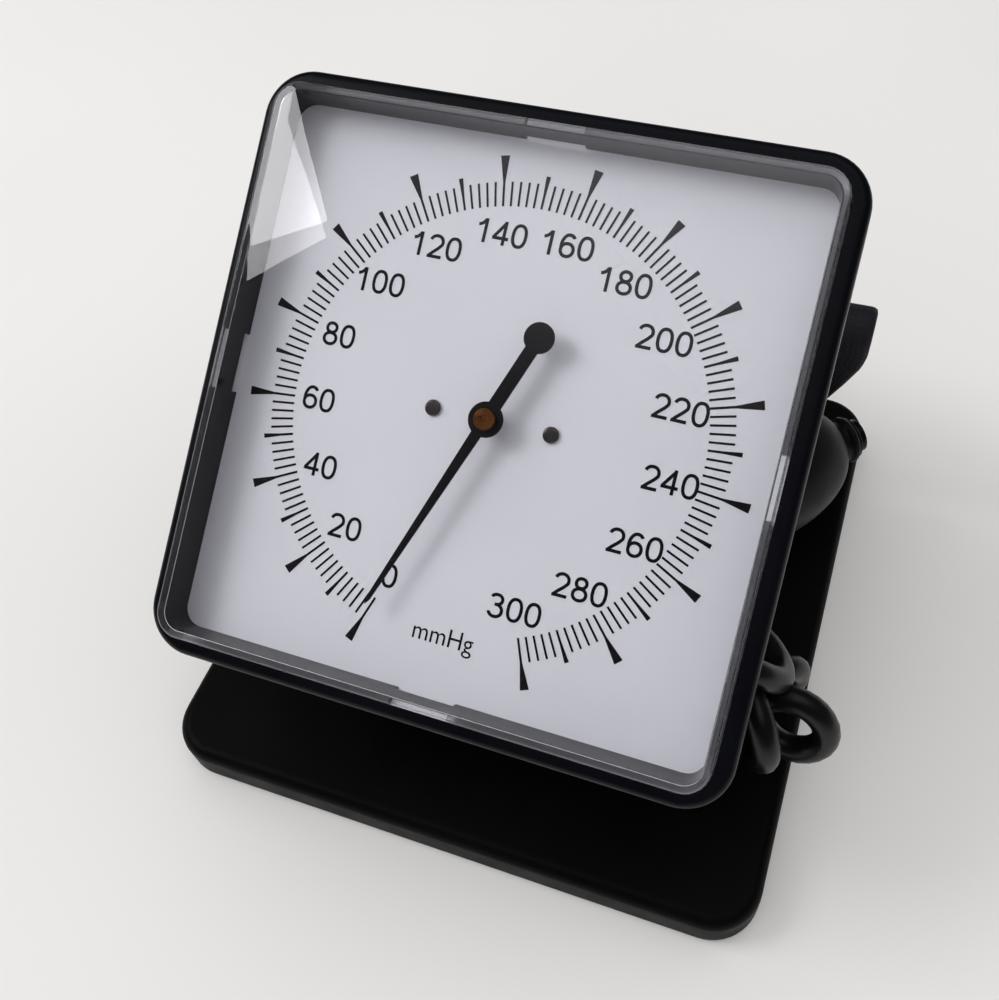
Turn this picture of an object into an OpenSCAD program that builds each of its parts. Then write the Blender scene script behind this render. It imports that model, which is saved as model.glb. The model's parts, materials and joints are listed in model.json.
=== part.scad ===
// Desk blood-pressure gauge with a large square aneroid dial. A flat weighted base
// carries an open storage basket, and the dial head is hinged on the basket's front
// panel, leaning back over it. The basket holds the cuff, the bulb and the curly hose.
// Origin: centre of the footprint, on the desk. +X is right, +Y is back, +Z is up.

/* [Base] */
// Width of the base plate, side to side
base_w = 190; // [186:1:215]
// Depth of the base plate, front to back
base_l = 202; // [198:1:220]
// Height of the base moulding, without its feet
base_h = 14; // [13:0.5:20]
// Corner radius of the base plate, seen from above
base_corner_r = 15; // [10:0.5:25]
// Rounding of the base plate's top edge
base_edge_r = 4; // [1:0.5:6]
// Wall of the base moulding
base_wall = 2.6; // [2:0.1:3.4]
// Height that a rubber foot stands out of the base
foot_h = 1; // [0.5:0.25:3]
// Diameter of a rubber foot
foot_d = 14; // [10:1:18]
// Depth that a rubber foot is let into its boss
foot_sink = 2; // [1:0.5:3]
// Width of the steel weight inside the base
ballast_w = 140; // [100:5:150]
// Depth of the steel weight inside the base
ballast_l = 130; // [100:5:150]
// Thickness of the steel weight
ballast_t = 4; // [2:0.5:5]

/* [Storage basket] */
// Width of the basket
basket_w = 150; // [130:1:160]
// Distance from the front panel to the back wall, outside
basket_l = 162; // [161:1:180]
// Wall of the basket
basket_t = 2.5; // [2:0.1:3.5]
// Height of the back wall above the base
basket_back_h = 74; // [50:1:90]
// Height of the front panel above the base
panel_h = 36; // [30:1:37]
// Width of a slot in the back wall
slot_w = 6; // [4:0.5:10]
// Pitch of the slots in the back wall
slot_pitch = 15; // [12:0.5:20]

/* [Tilt hinge] */
// Height of the hinge axis above the base
pivot_rise = 42.25; // [42:0.25:50]
// Distance of the hinge axis inside the case's lower edge
pivot_in = 7.3; // [6:0.1:12]
// Distance of the hinge axis behind the case's back
pivot_out = 4.5; // [4.4:0.1:8]
// Lean of the dial face, 0 is flat and 90 is upright
face_tilt = 35.5; // [28:0.5:45]
// Diameter of the hinge pin
pin_d = 4; // [3:0.1:5]
// Outer diameter of a hinge knuckle
knuckle_d = 8.4; // [7.4:0.1:8.6]
// Length of a hinge knuckle
knuckle_l = 14; // [8:0.5:16]
// Distance from the centre to the inner knuckles
knuckle_x = 15; // [10:0.5:20]

/* [Case] */
// Side of the square case
case_w = 160; // [158:0.5:170]
// Corner radius of the case
case_r = 13; // [9:0.5:20]
// Depth of the front case
front_d = 19; // [17:0.5:22]
// Depth of the back cover
back_d = 9.5; // [9:0.5:14]
// Rounding of the case's front edge
case_edge_r = 2.5; // [1:0.25:3.5]
// Rounding of the case's back edge
back_edge_r = 5; // [2:0.5:6]
// Wall of the back cover
back_t = 2.5; // [2:0.1:3]
// Distance of the corner screws inside the case's sides
screw_in = 12; // [11.5:0.25:13]

/* [Lens] */
// Width of the case's rim round the clear cover
rim_w = 5; // [4.5:0.25:8]
// Corner radius of the clear cover
lens_r = 7; // [4:0.5:9]
// Wall of the clear cover
lens_t = 1.75; // [1.2:0.05:2.5]
// Depth of the clear cover, from its front to its rim
lens_d = 12; // [10:0.5:14]
// Distance that the cover stands out of the case
lens_proud = 4.5; // [3:0.5:7]
// How much narrower the cover's rim is than its front
lens_draft = 1.2; // [0.5:0.1:2]
// Length of the snap notch in the middle of each side
notch_w = 16; // [10:0.5:20]
// Height of the snap notch
notch_h = 2.3; // [1:0.1:3]

/* [Dial and pointer] */
// Thickness of the dial plate
dial_t = 1.2; // [0.8:0.1:1.5]
// Distance of each dial screw from the centre
dial_screw_x = 16.2; // [12:0.1:20]
// Head diameter of a dial screw
dial_screw_d = 4.4; // [3.5:0.1:5]
// Length of the pointer from the centre to its tip
pointer_l = 57; // [54:0.5:66]
// Distance from the centre to the counterweight's middle
tail_l = 24.5; // [18:0.5:30]
// Diameter of the round counterweight
weight_d = 8; // [6:0.25:10]
// Diameter of the pointer's hub disc
hub_d = 9.2; // [8:0.1:11]
// Diameter of the boss in the hub
boss_d = 5.8; // [4:0.1:7]
// Height of the pointer above the dial
pointer_rise = 4.8; // [3.5:0.1:6]
// Thickness of the pointer
pointer_t = 0.8; // [0.5:0.1:1]
// Angle of the zero mark, from straight up to the left
zero_angle = 159; // [150:1:165]

/* [Movement] */
// Tooth module of the gears
gear_m = 0.5; // [0.45:0.01:0.55]
// Teeth on the pinion
pinion_teeth = 14; // [12:1:16]
// Teeth on a full circle of the sector gear
sector_teeth = 112; // [104:8:120]
// Play between the gear teeth
backlash = 0.12; // [0.06:0.01:0.2]
// Thickness of the sector gear
sector_t = 1.5; // [1:0.1:1.8]
// Diameter of the pressure capsule
capsule_d = 40; // [34:1:44]
// Travel of the capsule's stud at full scale
stud_travel = 2; // [1.5:0.1:2.2]

/* [Hose, bulb and cuff] */
// Outer diameter of the hose
hose_d = 8; // [7.8:0.05:8.1]
// Radius of the hose's curls, to the middle of the tube
curl_r = 9.3; // [9:0.05:9.6]
// Distance from curl to curl where they lie closest
curl_pitch = 8.7; // [8.6:0.05:9.4]
// Diameter of the bulb
bulb_d = 46; // [40:0.5:48]
// Length of the bulb
bulb_l = 76; // [70:1:78]
// Length of the rolled cuff
cuff_l = 150; // [140:1:155]
// Height of the rolled cuff
cuff_h = 70; // [55:1:75]
// Thickness of the rolled cuff
cuff_t = 25; // [20:0.5:26]

/* [Hidden] */
$fn = 64;
hull_fn = 48;
eps = 0.01;
fit_gap = 0.05;
seat_gap = 0.3;

// Heights of the base
base_top = foot_h + base_h;
base_roof = base_top - base_wall;
floor_top = base_top + basket_t;
ballast_z = foot_h + 1.5;
screw_r = 1.5;
screw_head_r = 3;
foot_x = base_w / 2 - base_corner_r;
foot_y = base_l / 2 - base_corner_r;
ballast_screw_x = ballast_w / 2 - 12;
ballast_screw_y = ballast_l / 2 - 12;

// Places of the basket
basket_front_y = -70;
basket_back_y = basket_front_y + basket_l;
basket_mid_y = (basket_front_y + basket_back_y) / 2;
basket_screw_x = basket_w / 2 - 14;
basket_screw_y = basket_l / 2 - 10;

// Tilt hinge and the head's own frame: its origin is the middle of the lens front,
// +Y runs up the face and +Z points out of it
pivot_y = basket_front_y + 1;
pivot_z = base_top + pivot_rise;
pin_r = pin_d / 2;
lens_w = case_w - 2 * rim_w;
screw_at = case_w / 2 - screw_in;
case_front_z = -lens_proud;
case_split_z = case_front_z - front_d;
case_back_z = case_split_z - back_d;
pivot_u = -(case_w / 2 - pivot_in);
pivot_h = case_back_z - pivot_out;
outer_knuckle_x = knuckle_x + knuckle_l + seat_gap;
pin_reach = outer_knuckle_x + knuckle_l;
cover_floor_z = case_back_z + back_t;

// Lens, dial and movement levels in the head's frame
lens_gap = 0.25;
dial_z = -lens_d;
dial_back_z = dial_z - dial_t;
top_plate_z = dial_back_z - 1.5;
low_plate_z = cover_floor_z + 4.5;
plate_t = 1;
pointer_z = dial_z + pointer_rise;
arbor_r = 1;
frame_w = 56;
frame_low = -46;
frame_high = 10;
pillar_r = 2.4;
pillar_x = frame_w / 2 - 4;
pillar_low = frame_low + 4;
pillar_high = frame_high - 4;

// Gear train: the sector's arbor is straight below the pinion
pinion_r = gear_m * pinion_teeth / 2;
sector_r = gear_m * sector_teeth / 2;
sector_u = -(pinion_r + sector_r);
gear_ratio = sector_teeth / pinion_teeth;
pointer_sweep = 2 * zero_angle;
sector_sweep = pointer_sweep / gear_ratio;
sector_z = top_plate_z - 1.3 - sector_t;

// Rocking shaft: it turns the stud's lift into a push on the sector's tail pin
tail_r = 3;
tail_start = -90 - sector_sweep / 2;
tail_x = tail_r * cos(tail_start);
tail_u = sector_u + tail_r * sin(tail_start);
tail_pin_r = 0.6;
rocker_r = 0.8;
rocker_z = low_plate_z + plate_t + 1.4;
finger_t = 1;
finger_gap = 0.25;
rocker_x = tail_x - tail_pin_r - finger_gap - finger_t / 2;
finger_top = sector_z - 0.6;
push = 2 * tail_r * sin(sector_sweep / 2);
rocker_turn = atan(push / (finger_top - rocker_z));
stud_arm = stud_travel / sin(rocker_turn);
stud_x = rocker_x - stud_arm;
stud_u = -14;
stud_r = 1;

// Curly hose: two legs side by side along X, joined by a U-turn at the right
hose_r = hose_d / 2;
hose_z0 = floor_top + seat_gap;
upper_leg = [0, -52.5, 50];
lower_leg = [0, -29.5, hose_z0 + curl_r + hose_r];
turn_x = 79;
upper_start_x = -64;
lower_end_x = -44;
end_straight = hose_d;
end_ease = 16;
leg_step = lower_leg - upper_leg;
turn_r = norm(leg_step) / 2;
turn_e = leg_step / norm(leg_step);
turn_b = cross([1, 0, 0], turn_e);
turn_mid = (upper_leg + lower_leg) / 2 + [turn_x, 0, 0];
upper_l = turn_x - upper_start_x;
bend_l = PI * turn_r;
lower_l = turn_x - lower_end_x;
bend_curls = 90 / asin(min(1, curl_pitch / (2 * (turn_r - curl_r))));

// The nipple's place on the back cover, in the head's frame, and its elbow's end
nipple_x = 40;
nipple_u = -48;
nipple_h = case_back_z - 7.7;
nipple_arm = [nipple_u - pivot_u, nipple_h - pivot_h];

// The hose's plain leads between the gauge and the curls
lead_from = [52, pivot_y + nipple_arm[0] * cos(face_tilt) - nipple_arm[1] * sin(face_tilt),
    pivot_z + nipple_arm[0] * sin(face_tilt) + nipple_arm[1] * cos(face_tilt)];
lead_back = [70, -24, 48.5];
lead_step = [0, lead_back[1] - lead_from[1], lead_back[2] - lead_from[2]];
return_step = [0, upper_leg[1] - lead_back[1], upper_leg[2] - lead_back[2]];
elbow_r = 4;

// Bulb: its axis lies flat, turned to the right and back
bulb_r = bulb_d / 2;
cuff_y = basket_back_y - basket_t - seat_gap - cuff_t;
bulb_turn = 42;
bulb_reach = norm([bulb_l / 2 * sin(bulb_turn), bulb_r * cos(bulb_turn)]);
bulb_at = [58.5, cuff_y - bulb_reach - 0.6, floor_top + seat_gap + bulb_r];
neck_r = 7;
neck_l = 5;
valve_r = 6;
valve_l = 20;
knob_r = 6;
knob_l = 9;
knob_along = 13;

// Cuff and connector
cuff_left = -62;
connector_l = 34;
connector_at = [-60, cuff_y - 38 - connector_l, floor_top + seat_gap + 6];
bulb_end = bulb_l / 2 + neck_l + valve_l;
bulb_dir = [cos(bulb_turn), sin(bulb_turn), 0];
valve_end = bulb_at - (bulb_end + fit_gap) * bulb_dir;
bulb_tube_route = [valve_end, valve_end - end_straight * bulb_dir, [-1, -15, 42.5],
    [-12, -14, 41.5], [-23, -8, 42], [-31, 2, 43], [-35, 14, 45], [-36, cuff_y - 36, 48],
    [-36, cuff_y - 20, 51], [-36, cuff_y - end_straight, 52], [-36, cuff_y, 52]];
connector_end = connector_at + [0, connector_l, 0];
cuff_tube_route = [connector_end, connector_end + [0, end_straight, 0],
    [-59, cuff_y - 23, 27], [-56, cuff_y - 17, 33], [-52, cuff_y - 12, 38],
    [-50, cuff_y - end_straight, 40], [-50, cuff_y, 40]];
tail_start_at = [lower_end_x, lower_leg[1], lower_leg[2]];
tail_route = [tail_start_at, tail_start_at - [end_straight, 0, 0], [-57, -29, 29],
    [-60, -22, 26], connector_at - [0, end_straight, 0], connector_at];

// ---- Shared shapes ----

function arc_points(cx, cy, r, from, to, n) =
    [for (i = [0:n]) let (a = from + (to - from) * i / n) [cx + r * cos(a), cy + r * sin(a)]];

function unit(v) = v / norm(v);

// Smooth step from 0 to 1
function ease(t) = let (c = min(max(t, 0), 1)) c * c * (3 - 2 * c);

module puck(r, h, top_e, bottom_e) {
    low = bottom_e > 0 ? arc_points(r - bottom_e, bottom_e, bottom_e, -90, 0, 5) : [[r, 0]];
    high = top_e > 0 ? arc_points(r - top_e, h - top_e, top_e, 0, 90, 5) : [[r, h]];
    rotate_extrude($fn = hull_fn)
        polygon(concat([[0, 0]], low, high, [[0, h]]));
}

// Block with rounded corners and softened top and bottom edges
module soft_block(w, l, h, r, top_e = 0, bottom_e = 0) {
    hull()
        for (x = [-1, 1], y = [-1, 1])
            translate([x * (w / 2 - r), y * (l / 2 - r), 0])
                puck(r, h, top_e, bottom_e);
}

module round_rect(w, l, r) {
    square([w - 2 * r, l], center = true);
    square([w, l - 2 * r], center = true);
    for (x = [-1, 1], y = [-1, 1])
        translate([x * (w / 2 - r), y * (l / 2 - r)])
            circle(r);
}

module plain_block(w, l, h, r) {
    linear_extrude(h)
        round_rect(w, l, r);
}

module at_four(x, y) {
    for (sx = [-1, 1], sy = [-1, 1])
        translate([sx * x, sy * y, 0])
            children();
}

module at_corners(a) {
    at_four(a, a)
        children();
}

// Cylinder along X
module bar_x(x0, x1, r) {
    translate([x0, 0, 0])
        rotate([0, 90, 0])
            cylinder(r = r, h = x1 - x0);
}

// Places its children in the head's frame
module on_head() {
    translate([0, pivot_y, pivot_z])
        rotate([face_tilt, 0, 0])
            translate([0, -pivot_u, -pivot_h])
                children();
}

module at_hinge() {
    translate([0, pivot_y, pivot_z])
        children();
}

module at_pillars() {
    for (x = [-pillar_x, pillar_x], u = [pillar_low, pillar_high])
        translate([x, u, 0])
            children();
}

// Tube along a list of points: one ring of sides a point, kept square to the path
function path_dir(p, i) =
    unit(p[min(i + 1, len(p) - 1)] - p[max(i - 1, 0)]);

function ring_at(p, t, side, r, n) =
    let (a = unit(side - t * (side * t)), b = cross(t, a))
    [for (k = [0:n - 1]) p + r * (cos(360 * k / n) * a + sin(360 * k / n) * b)];

module skin(rings, n) {
    last = len(rings) - 1;
    points = [for (ring = rings, q = ring) q];
    sides = [for (i = [0:last - 1], k = [0:n - 1])
        let (a = i * n + k, b = i * n + (k + 1) % n)
        each [[a, a + n, b], [b, a + n, b + n]]];
    first_cap = [for (k = [1:n - 2]) [0, k, k + 1]];
    last_cap = [for (k = [1:n - 2]) [last * n, last * n + k + 1, last * n + k]];
    polyhedron(points, concat(sides, first_cap, last_cap), convexity = 10);
}

module tube(path, side, start_dir, end_dir, n = 10) {
    last = len(path) - 1;
    rings = [for (i = [0:last])
        let (t = i == 0 ? start_dir : i == last ? end_dir : path_dir(path, i))
        ring_at(path[i], t, side, hose_r, n)];
    skin(rings, n);
}

// Smooth curve through hand-placed points
function spline_point(p0, p1, p2, p3, t) =
    0.5 * (2 * p1 + (p2 - p0) * t + (2 * p0 - 5 * p1 + 4 * p2 - p3) * t * t
    + (3 * p1 - p0 - 3 * p2 + p3) * t * t * t);

function spline(p, steps) = let (last = len(p) - 1)
    concat([for (i = [0:last - 1], k = [0:steps - 1])
        spline_point(p[max(i - 1, 0)], p[i], p[i + 1], p[min(i + 2, last)], k / steps)],
        [p[last]]);

// Half circle from p, which starts along dir and ends a step away, turned back
function half_turn(p, step, dir, n) =
    let (r = norm(step) / 2, e = unit(step))
    [for (i = [0:n]) let (a = 180 * i / n) p + step / 2 - r * cos(a) * e + r * sin(a) * dir];

// ---- Base ----

module base_plate() {
    color("#15161a")
        difference() {
            union() {
                difference() {
                    translate([0, 0, foot_h])
                        soft_block(base_w, base_l, base_h, base_corner_r, base_edge_r, 0.8);
                    translate([0, 0, foot_h - eps])
                        plain_block(base_w - 2 * base_wall, base_l - 2 * base_wall,
                            base_h - base_wall + eps, base_corner_r - base_wall);
                }
                at_four(foot_x, foot_y)
                    translate([0, 0, foot_h])
                        cylinder(r = foot_d / 2 + 2, h = base_roof - foot_h + eps);
                at_four(ballast_screw_x, ballast_screw_y)
                    translate([0, 0, ballast_z + ballast_t])
                        cylinder(r = 4, h = base_roof - ballast_z - ballast_t + eps);
                translate([0, basket_mid_y, 0])
                    at_four(basket_screw_x, basket_screw_y)
                        translate([0, 0, ballast_z + ballast_t + 1])
                            cylinder(r = 4, h = base_roof - ballast_z - ballast_t - 1 + eps);
                base_ribs();
            }
            at_four(foot_x, foot_y)
                translate([0, 0, foot_h - eps])
                    cylinder(r = foot_d / 2 + fit_gap, h = foot_sink + eps);
            at_four(ballast_screw_x, ballast_screw_y)
                translate([0, 0, ballast_z])
                    cylinder(r = screw_r, h = base_roof - ballast_z);
            translate([0, basket_mid_y, 0])
                at_four(basket_screw_x, basket_screw_y)
                    translate([0, 0, ballast_z + ballast_t])
                        cylinder(r = screw_r, h = base_top);
        }
}

// Stiffening ribs under the base plate's roof, clear of the weight
module base_ribs() {
    rib_h = base_roof - ballast_z - ballast_t - 1;
    for (x = [-1, 0, 1])
        translate([x * base_w / 4 - 1, -base_l / 2 + 1, base_roof - rib_h])
            cube([2, base_l - 2, rib_h + eps]);
}

module base_feet() {
    color("#2a2b2e")
        at_four(foot_x, foot_y)
            rotate_extrude()
                polygon(concat([[0, 0]], arc_points(foot_d / 2 - 0.4, 0.4, 0.4, -90, 0, 3),
                    [[foot_d / 2, foot_h + foot_sink], [0, foot_h + foot_sink]]));
}

module ballast_plate() {
    color("#8a8d90")
        difference() {
            translate([0, 0, ballast_z])
                plain_block(ballast_w, ballast_l, ballast_t, 6);
            at_four(ballast_screw_x, ballast_screw_y)
                translate([0, 0, ballast_z - 1])
                    cylinder(r = screw_r + 0.3, h = ballast_t + 2);
        }
}

// Pan-head screw, its seat at z = 0 and its shank pointing up
module screw(head_r, head_h, r, l) {
    difference() {
        union() {
            translate([0, 0, -head_h])
                cylinder(r1 = head_r * 0.8, r2 = head_r, h = head_h);
            cylinder(r = r, h = l);
        }
        for (a = [0, 90])
            rotate(a)
                translate([-head_r * 0.55, -0.35, -head_h - eps])
                    cube([head_r * 1.1, 0.7, head_h * 0.5]);
    }
}

module ballast_screws() {
    color("#c9ccd0")
        at_four(ballast_screw_x, ballast_screw_y)
            translate([0, 0, ballast_z])
                screw(screw_head_r, 1.3, screw_r, base_roof - ballast_z - 0.5);
}

// ---- Storage basket ----

module basket_knuckles(r, x0, x1) {
    at_hinge()
        for (s = [0, 1])
            mirror([s, 0, 0])
                bar_x(x0, x1, r);
}

module basket_shell() {
    // Floor
    translate([0, basket_mid_y, base_top])
        plain_block(basket_w, basket_l, basket_t, 5);
    // Front panel, with a step up at each outer knuckle
    translate([0, basket_front_y + basket_t, base_top])
        rotate([90, 0, 0])
            linear_extrude(basket_t)
                panel_outline();
    basket_knuckles(knuckle_d / 2, outer_knuckle_x, pin_reach);
    // Back wall
    translate([0, basket_back_y, base_top])
        rotate([90, 0, 0])
            linear_extrude(basket_t)
                back_outline();
}

module panel_outline() {
    translate([0, panel_h / 2])
        square([basket_w - 16, panel_h], center = true);
    for (s = [-1, 1])
        translate([s * (outer_knuckle_x + knuckle_l / 2), pivot_rise / 2])
            square([knuckle_l, pivot_rise], center = true);
}

module back_outline() {
    difference() {
        translate([0, basket_back_h / 2])
            round_rect(basket_w, basket_back_h, 9);
        for (i = [-4:4])
            translate([i * slot_pitch, basket_back_h / 2 + 4])
                round_rect(slot_w, basket_back_h - 34, slot_w / 2 - eps);
    }
    translate([0, 5])
        square([basket_w, 10], center = true);
}

module storage_basket() {
    color("#17181c")
        difference() {
            basket_shell();
            basket_knuckles(pin_r + fit_gap, outer_knuckle_x - 1, pin_reach + 1);
            translate([0, basket_mid_y, 0])
                at_four(basket_screw_x, basket_screw_y)
                    translate([0, 0, base_top - 1])
                        union() {
                            cylinder(r = screw_r + 0.2, h = basket_t + 2);
                            translate([0, 0, 1 + basket_t - 1.6])
                                cylinder(r1 = screw_r + 0.2, r2 = screw_head_r + 0.2, h = 1.6 + eps);
                        }
            // Room for the case's lower edge as the head swings
            translate([-knuckle_x - knuckle_l, basket_front_y - 1, base_top + panel_h - 2])
                cube([2 * (knuckle_x + knuckle_l), basket_t + 2, 3]);
        }
}

module basket_screws() {
    color("#c9ccd0")
        translate([0, basket_mid_y, 0])
            at_four(basket_screw_x, basket_screw_y)
                difference() {
                    union() {
                        translate([0, 0, floor_top - 1.5])
                            cylinder(r1 = screw_r, r2 = screw_head_r, h = 1.5);
                        translate([0, 0, base_top - 5])
                            cylinder(r = screw_r, h = basket_t + 5 - 1.5 + eps);
                    }
                    for (a = [0, 90])
                        rotate(a)
                            translate([-1.5, -0.35, floor_top - 0.8])
                                cube([3, 0.7, 1]);
                }
}

// ---- Tilt hinge ----

module hinge_pin() {
    color("#b9bcc0")
        at_hinge()
            union() {
                bar_x(-pin_reach - 0.5, pin_reach + 4, pin_r);
                bar_x(-pin_reach - 2.5, -pin_reach - 0.3, pin_r + 1.8);
            }
}

module hinge_nut() {
    color("#c9ccd0")
        at_hinge()
            difference() {
                union() {
                    translate([pin_reach + 0.3, 0, 0])
                        rotate([0, 90, 0])
                            cylinder(r = pin_r + 2.2, h = 3, $fn = 6);
                    translate([pin_reach + 3.3, 0, 0])
                        rotate([0, 90, 0])
                            cylinder(r1 = pin_r + 1.6, r2 = pin_r, h = 2.2);
                }
                bar_x(pin_reach, pin_reach + 4 + fit_gap, pin_r + 0.02);
            }
}

// ---- Case ----

module case_front() {
    color("#12131a")
        on_head()
            difference() {
                union() {
                    difference() {
                        translate([0, 0, case_split_z])
                            soft_block(case_w, case_w, front_d, case_r, case_edge_r, 0);
                        // Seat of the lens, down to the dial plate's ledge
                        translate([0, 0, dial_back_z])
                            plain_block(lens_w + 2 * lens_gap, lens_w + 2 * lens_gap,
                                lens_d + dial_t, lens_r + lens_gap);
                        // Room behind the dial plate
                        translate([0, 0, case_split_z - eps])
                            plain_block(lens_w - 4, lens_w - 4, front_d, lens_r - 1);
                    }
                    at_corners(screw_at)
                        translate([0, 0, case_split_z]) {
                            cylinder(r = 4.5, h = dial_back_z - case_split_z);
                            translate([-4, -4, 0])
                                cube([8, 8, dial_back_z - case_split_z]);
                        }
                }
                at_corners(screw_at)
                    translate([0, 0, case_split_z - 1])
                        cylinder(r = screw_r, h = dial_back_z - case_split_z - 1);
            }
}

module back_lug() {
    translate([0, pivot_u, pivot_h])
        bar_x(knuckle_x, knuckle_x + knuckle_l, knuckle_d / 2);
    translate([knuckle_x, pivot_u - knuckle_d / 2, pivot_h])
        cube([knuckle_l, knuckle_d, case_back_z - pivot_h + 1]);
}

module case_back() {
    color("#12131a")
        on_head()
            difference() {
                union() {
                    difference() {
                        translate([0, 0, case_back_z])
                            soft_block(case_w, case_w, back_d, case_r, 0, back_edge_r);
                        translate([0, 0, cover_floor_z])
                            plain_block(case_w - 2 * back_edge_r - 2, case_w - 2 * back_edge_r - 2,
                                back_d, case_r - back_edge_r - 1);
                    }
                    at_corners(screw_at)
                        translate([0, 0, cover_floor_z - eps])
                            cylinder(r = 5.5, h = back_d - back_t + eps);
                    for (s = [0, 1])
                        mirror([s, 0, 0])
                            back_lug();
                    back_ribs();
                }
                at_corners(screw_at)
                    translate([0, 0, case_back_z - 1]) {
                        cylinder(r = screw_r + 0.3, h = back_d + 2);
                        cylinder(r = screw_head_r + 0.5, h = 4);
                    }
                at_pillars()
                    translate([0, 0, case_back_z - 1]) {
                        cylinder(r = screw_r + 0.2, h = back_t + 2);
                        cylinder(r = screw_head_r, h = 2);
                    }
                translate([nipple_x, nipple_u, case_back_z - 1])
                    cylinder(r = elbow_r - 1 + fit_gap, h = back_t + 2);
                translate([0, pivot_u, pivot_h])
                    bar_x(-case_w / 2, case_w / 2, pin_r + fit_gap);
            }
}

// Raised frame round the middle of the cover's back, as a finger grip
module back_ribs() {
    rib_t = 1.2;
    for (i = [0:3])
        translate([0, 30 + 6 * i, case_back_z - rib_t])
            plain_block(60, 2.4, rib_t + 1, 1.19);
}

module case_screws() {
    color("#c9ccd0")
        on_head()
            at_corners(screw_at)
                translate([0, 0, case_back_z + 3])
                    screw(screw_head_r, 1.8, screw_r - 0.02, 14);
}

// ---- Lens and dial ----

module lens_form(w, r, top, e) {
    hull()
        for (x = [-1, 1], y = [-1, 1])
            translate([x * (w / 2 - r), y * (w / 2 - r), 0])
                rotate_extrude($fn = hull_fn)
                    polygon(concat([[0, -lens_d - 1], [r - lens_draft / 2, -lens_d - 1]],
                        arc_points(r - e, top - e, e, 0, 90, 4), [[0, top]]));
}

module lens() {
    color("#dfe8ee", 0.35)
        on_head()
            difference() {
                lens_form(lens_w, lens_r, 0, 0.8);
                lens_form(lens_w - 2 * lens_t, lens_r - lens_t, -lens_t, 0.5);
                translate([-case_w / 2, -case_w / 2, dial_z - 2])
                    cube([case_w, case_w, 2]);
                for (a = [0:90:270])
                    rotate(a)
                        translate([-notch_w / 2, lens_w / 2 - lens_t - lens_draft - 1, dial_z - eps])
                            cube([notch_w, lens_t + lens_draft + 2, notch_h]);
            }
}

module dial_plate() {
    color("#f2f3f6")
        on_head()
            difference() {
                translate([0, 0, dial_back_z])
                    plain_block(lens_w, lens_w, dial_t, lens_r);
                translate([0, 0, dial_back_z - 1])
                    cylinder(r = arbor_r + 0.8, h = dial_t + 2);
                for (s = [-1, 1])
                    translate([s * dial_screw_x, 0, dial_back_z - 1])
                        cylinder(r = 1.1, h = dial_t + 2);
            }
}

module dial_screws() {
    color("#d4d6da")
        on_head()
            for (s = [-1, 1])
                translate([s * dial_screw_x, 0, 0])
                    difference() {
                        union() {
                            translate([0, 0, dial_z])
                                rotate_extrude()
                                    polygon(concat([[0, 0]],
                                        arc_points(dial_screw_d / 2 - 0.7, 0.3, 0.7, 0, 90, 4),
                                        [[0, 1]]));
                            translate([0, 0, top_plate_z + 0.2])
                                cylinder(r = 1, h = dial_z - top_plate_z);
                        }
                        rotate(s * 25)
                            translate([-dial_screw_d, -0.3, dial_z + 0.5])
                                cube([2 * dial_screw_d, 0.6, 1]);
                    }
}

// ---- Movement ----

module frame_plate(z, t) {
    translate([-frame_w / 2, frame_low, z])
        cube([frame_w, frame_high - frame_low, t]);
}

module movement_frame() {
    color("#c8a24a")
        on_head()
            difference() {
                union() {
                    frame_plate(top_plate_z, dial_back_z - top_plate_z);
                    frame_plate(low_plate_z, plate_t);
                    at_pillars()
                        translate([0, 0, cover_floor_z])
                            cylinder(r = pillar_r, h = top_plate_z - cover_floor_z + eps);
                    for (u = [stud_u + 5, tail_u - 4])
                        translate([rocker_x - 1.8, u - 0.75, low_plate_z + plate_t - eps])
                            cube([3.6, 1.5, 3]);
                }
                at_pillars()
                    translate([0, 0, cover_floor_z - 1])
                        cylinder(r = screw_r - 0.2, h = 5);
                for (u = [0, sector_u])
                    translate([0, u, low_plate_z - 1])
                        cylinder(r = arbor_r + fit_gap, h = dial_z - low_plate_z);
                for (s = [-1, 1])
                    translate([s * dial_screw_x, 0, top_plate_z - 1])
                        cylinder(r = 1.05, h = 4);
                translate([stud_x, stud_u, low_plate_z - 1])
                    cylinder(r = 4.6, h = plate_t + 2);
                translate([rocker_x, tail_u - 6, rocker_z])
                    rotate([-90, 0, 0])
                        cylinder(r = rocker_r + fit_gap, h = stud_u - tail_u + 14);
            }
}

module movement_screws() {
    color("#c9ccd0")
        on_head()
            at_pillars()
                translate([0, 0, case_back_z + 1])
                    screw(screw_head_r - 0.2, 0.9, screw_r - 0.22, back_t + 2);
}

module capsule() {
    color("#c9ccd0")
        on_head()
            translate([stud_x, stud_u, cover_floor_z])
                difference() {
                    rotate_extrude()
                        polygon([[0, 0], [8, 0], [8, 0.6], [capsule_d / 2, 0.9],
                            [capsule_d / 2, 2.6], [16, 3.4], [14, 2.9], [12, 3.5], [10, 2.9],
                            [8, 3.5], [6, 3.2], [0, 3.2]]);
                    rotate_extrude()
                        polygon([[0, 0.5], [7, 0.5], [7, 1.2], [capsule_d / 2 - 1, 1.5],
                            [capsule_d / 2 - 1, 2], [6, 2.2], [0, 2.2]]);
                }
}

module capsule_stud() {
    color("#c8a24a")
        on_head()
            translate([stud_x, stud_u, cover_floor_z + 3.4])
                union() {
                    cylinder(r = 4, h = 0.6);
                    cylinder(r1 = stud_r, r2 = 0.4, h = rocker_z - 0.9 - cover_floor_z - 3.4);
                }
}

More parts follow.
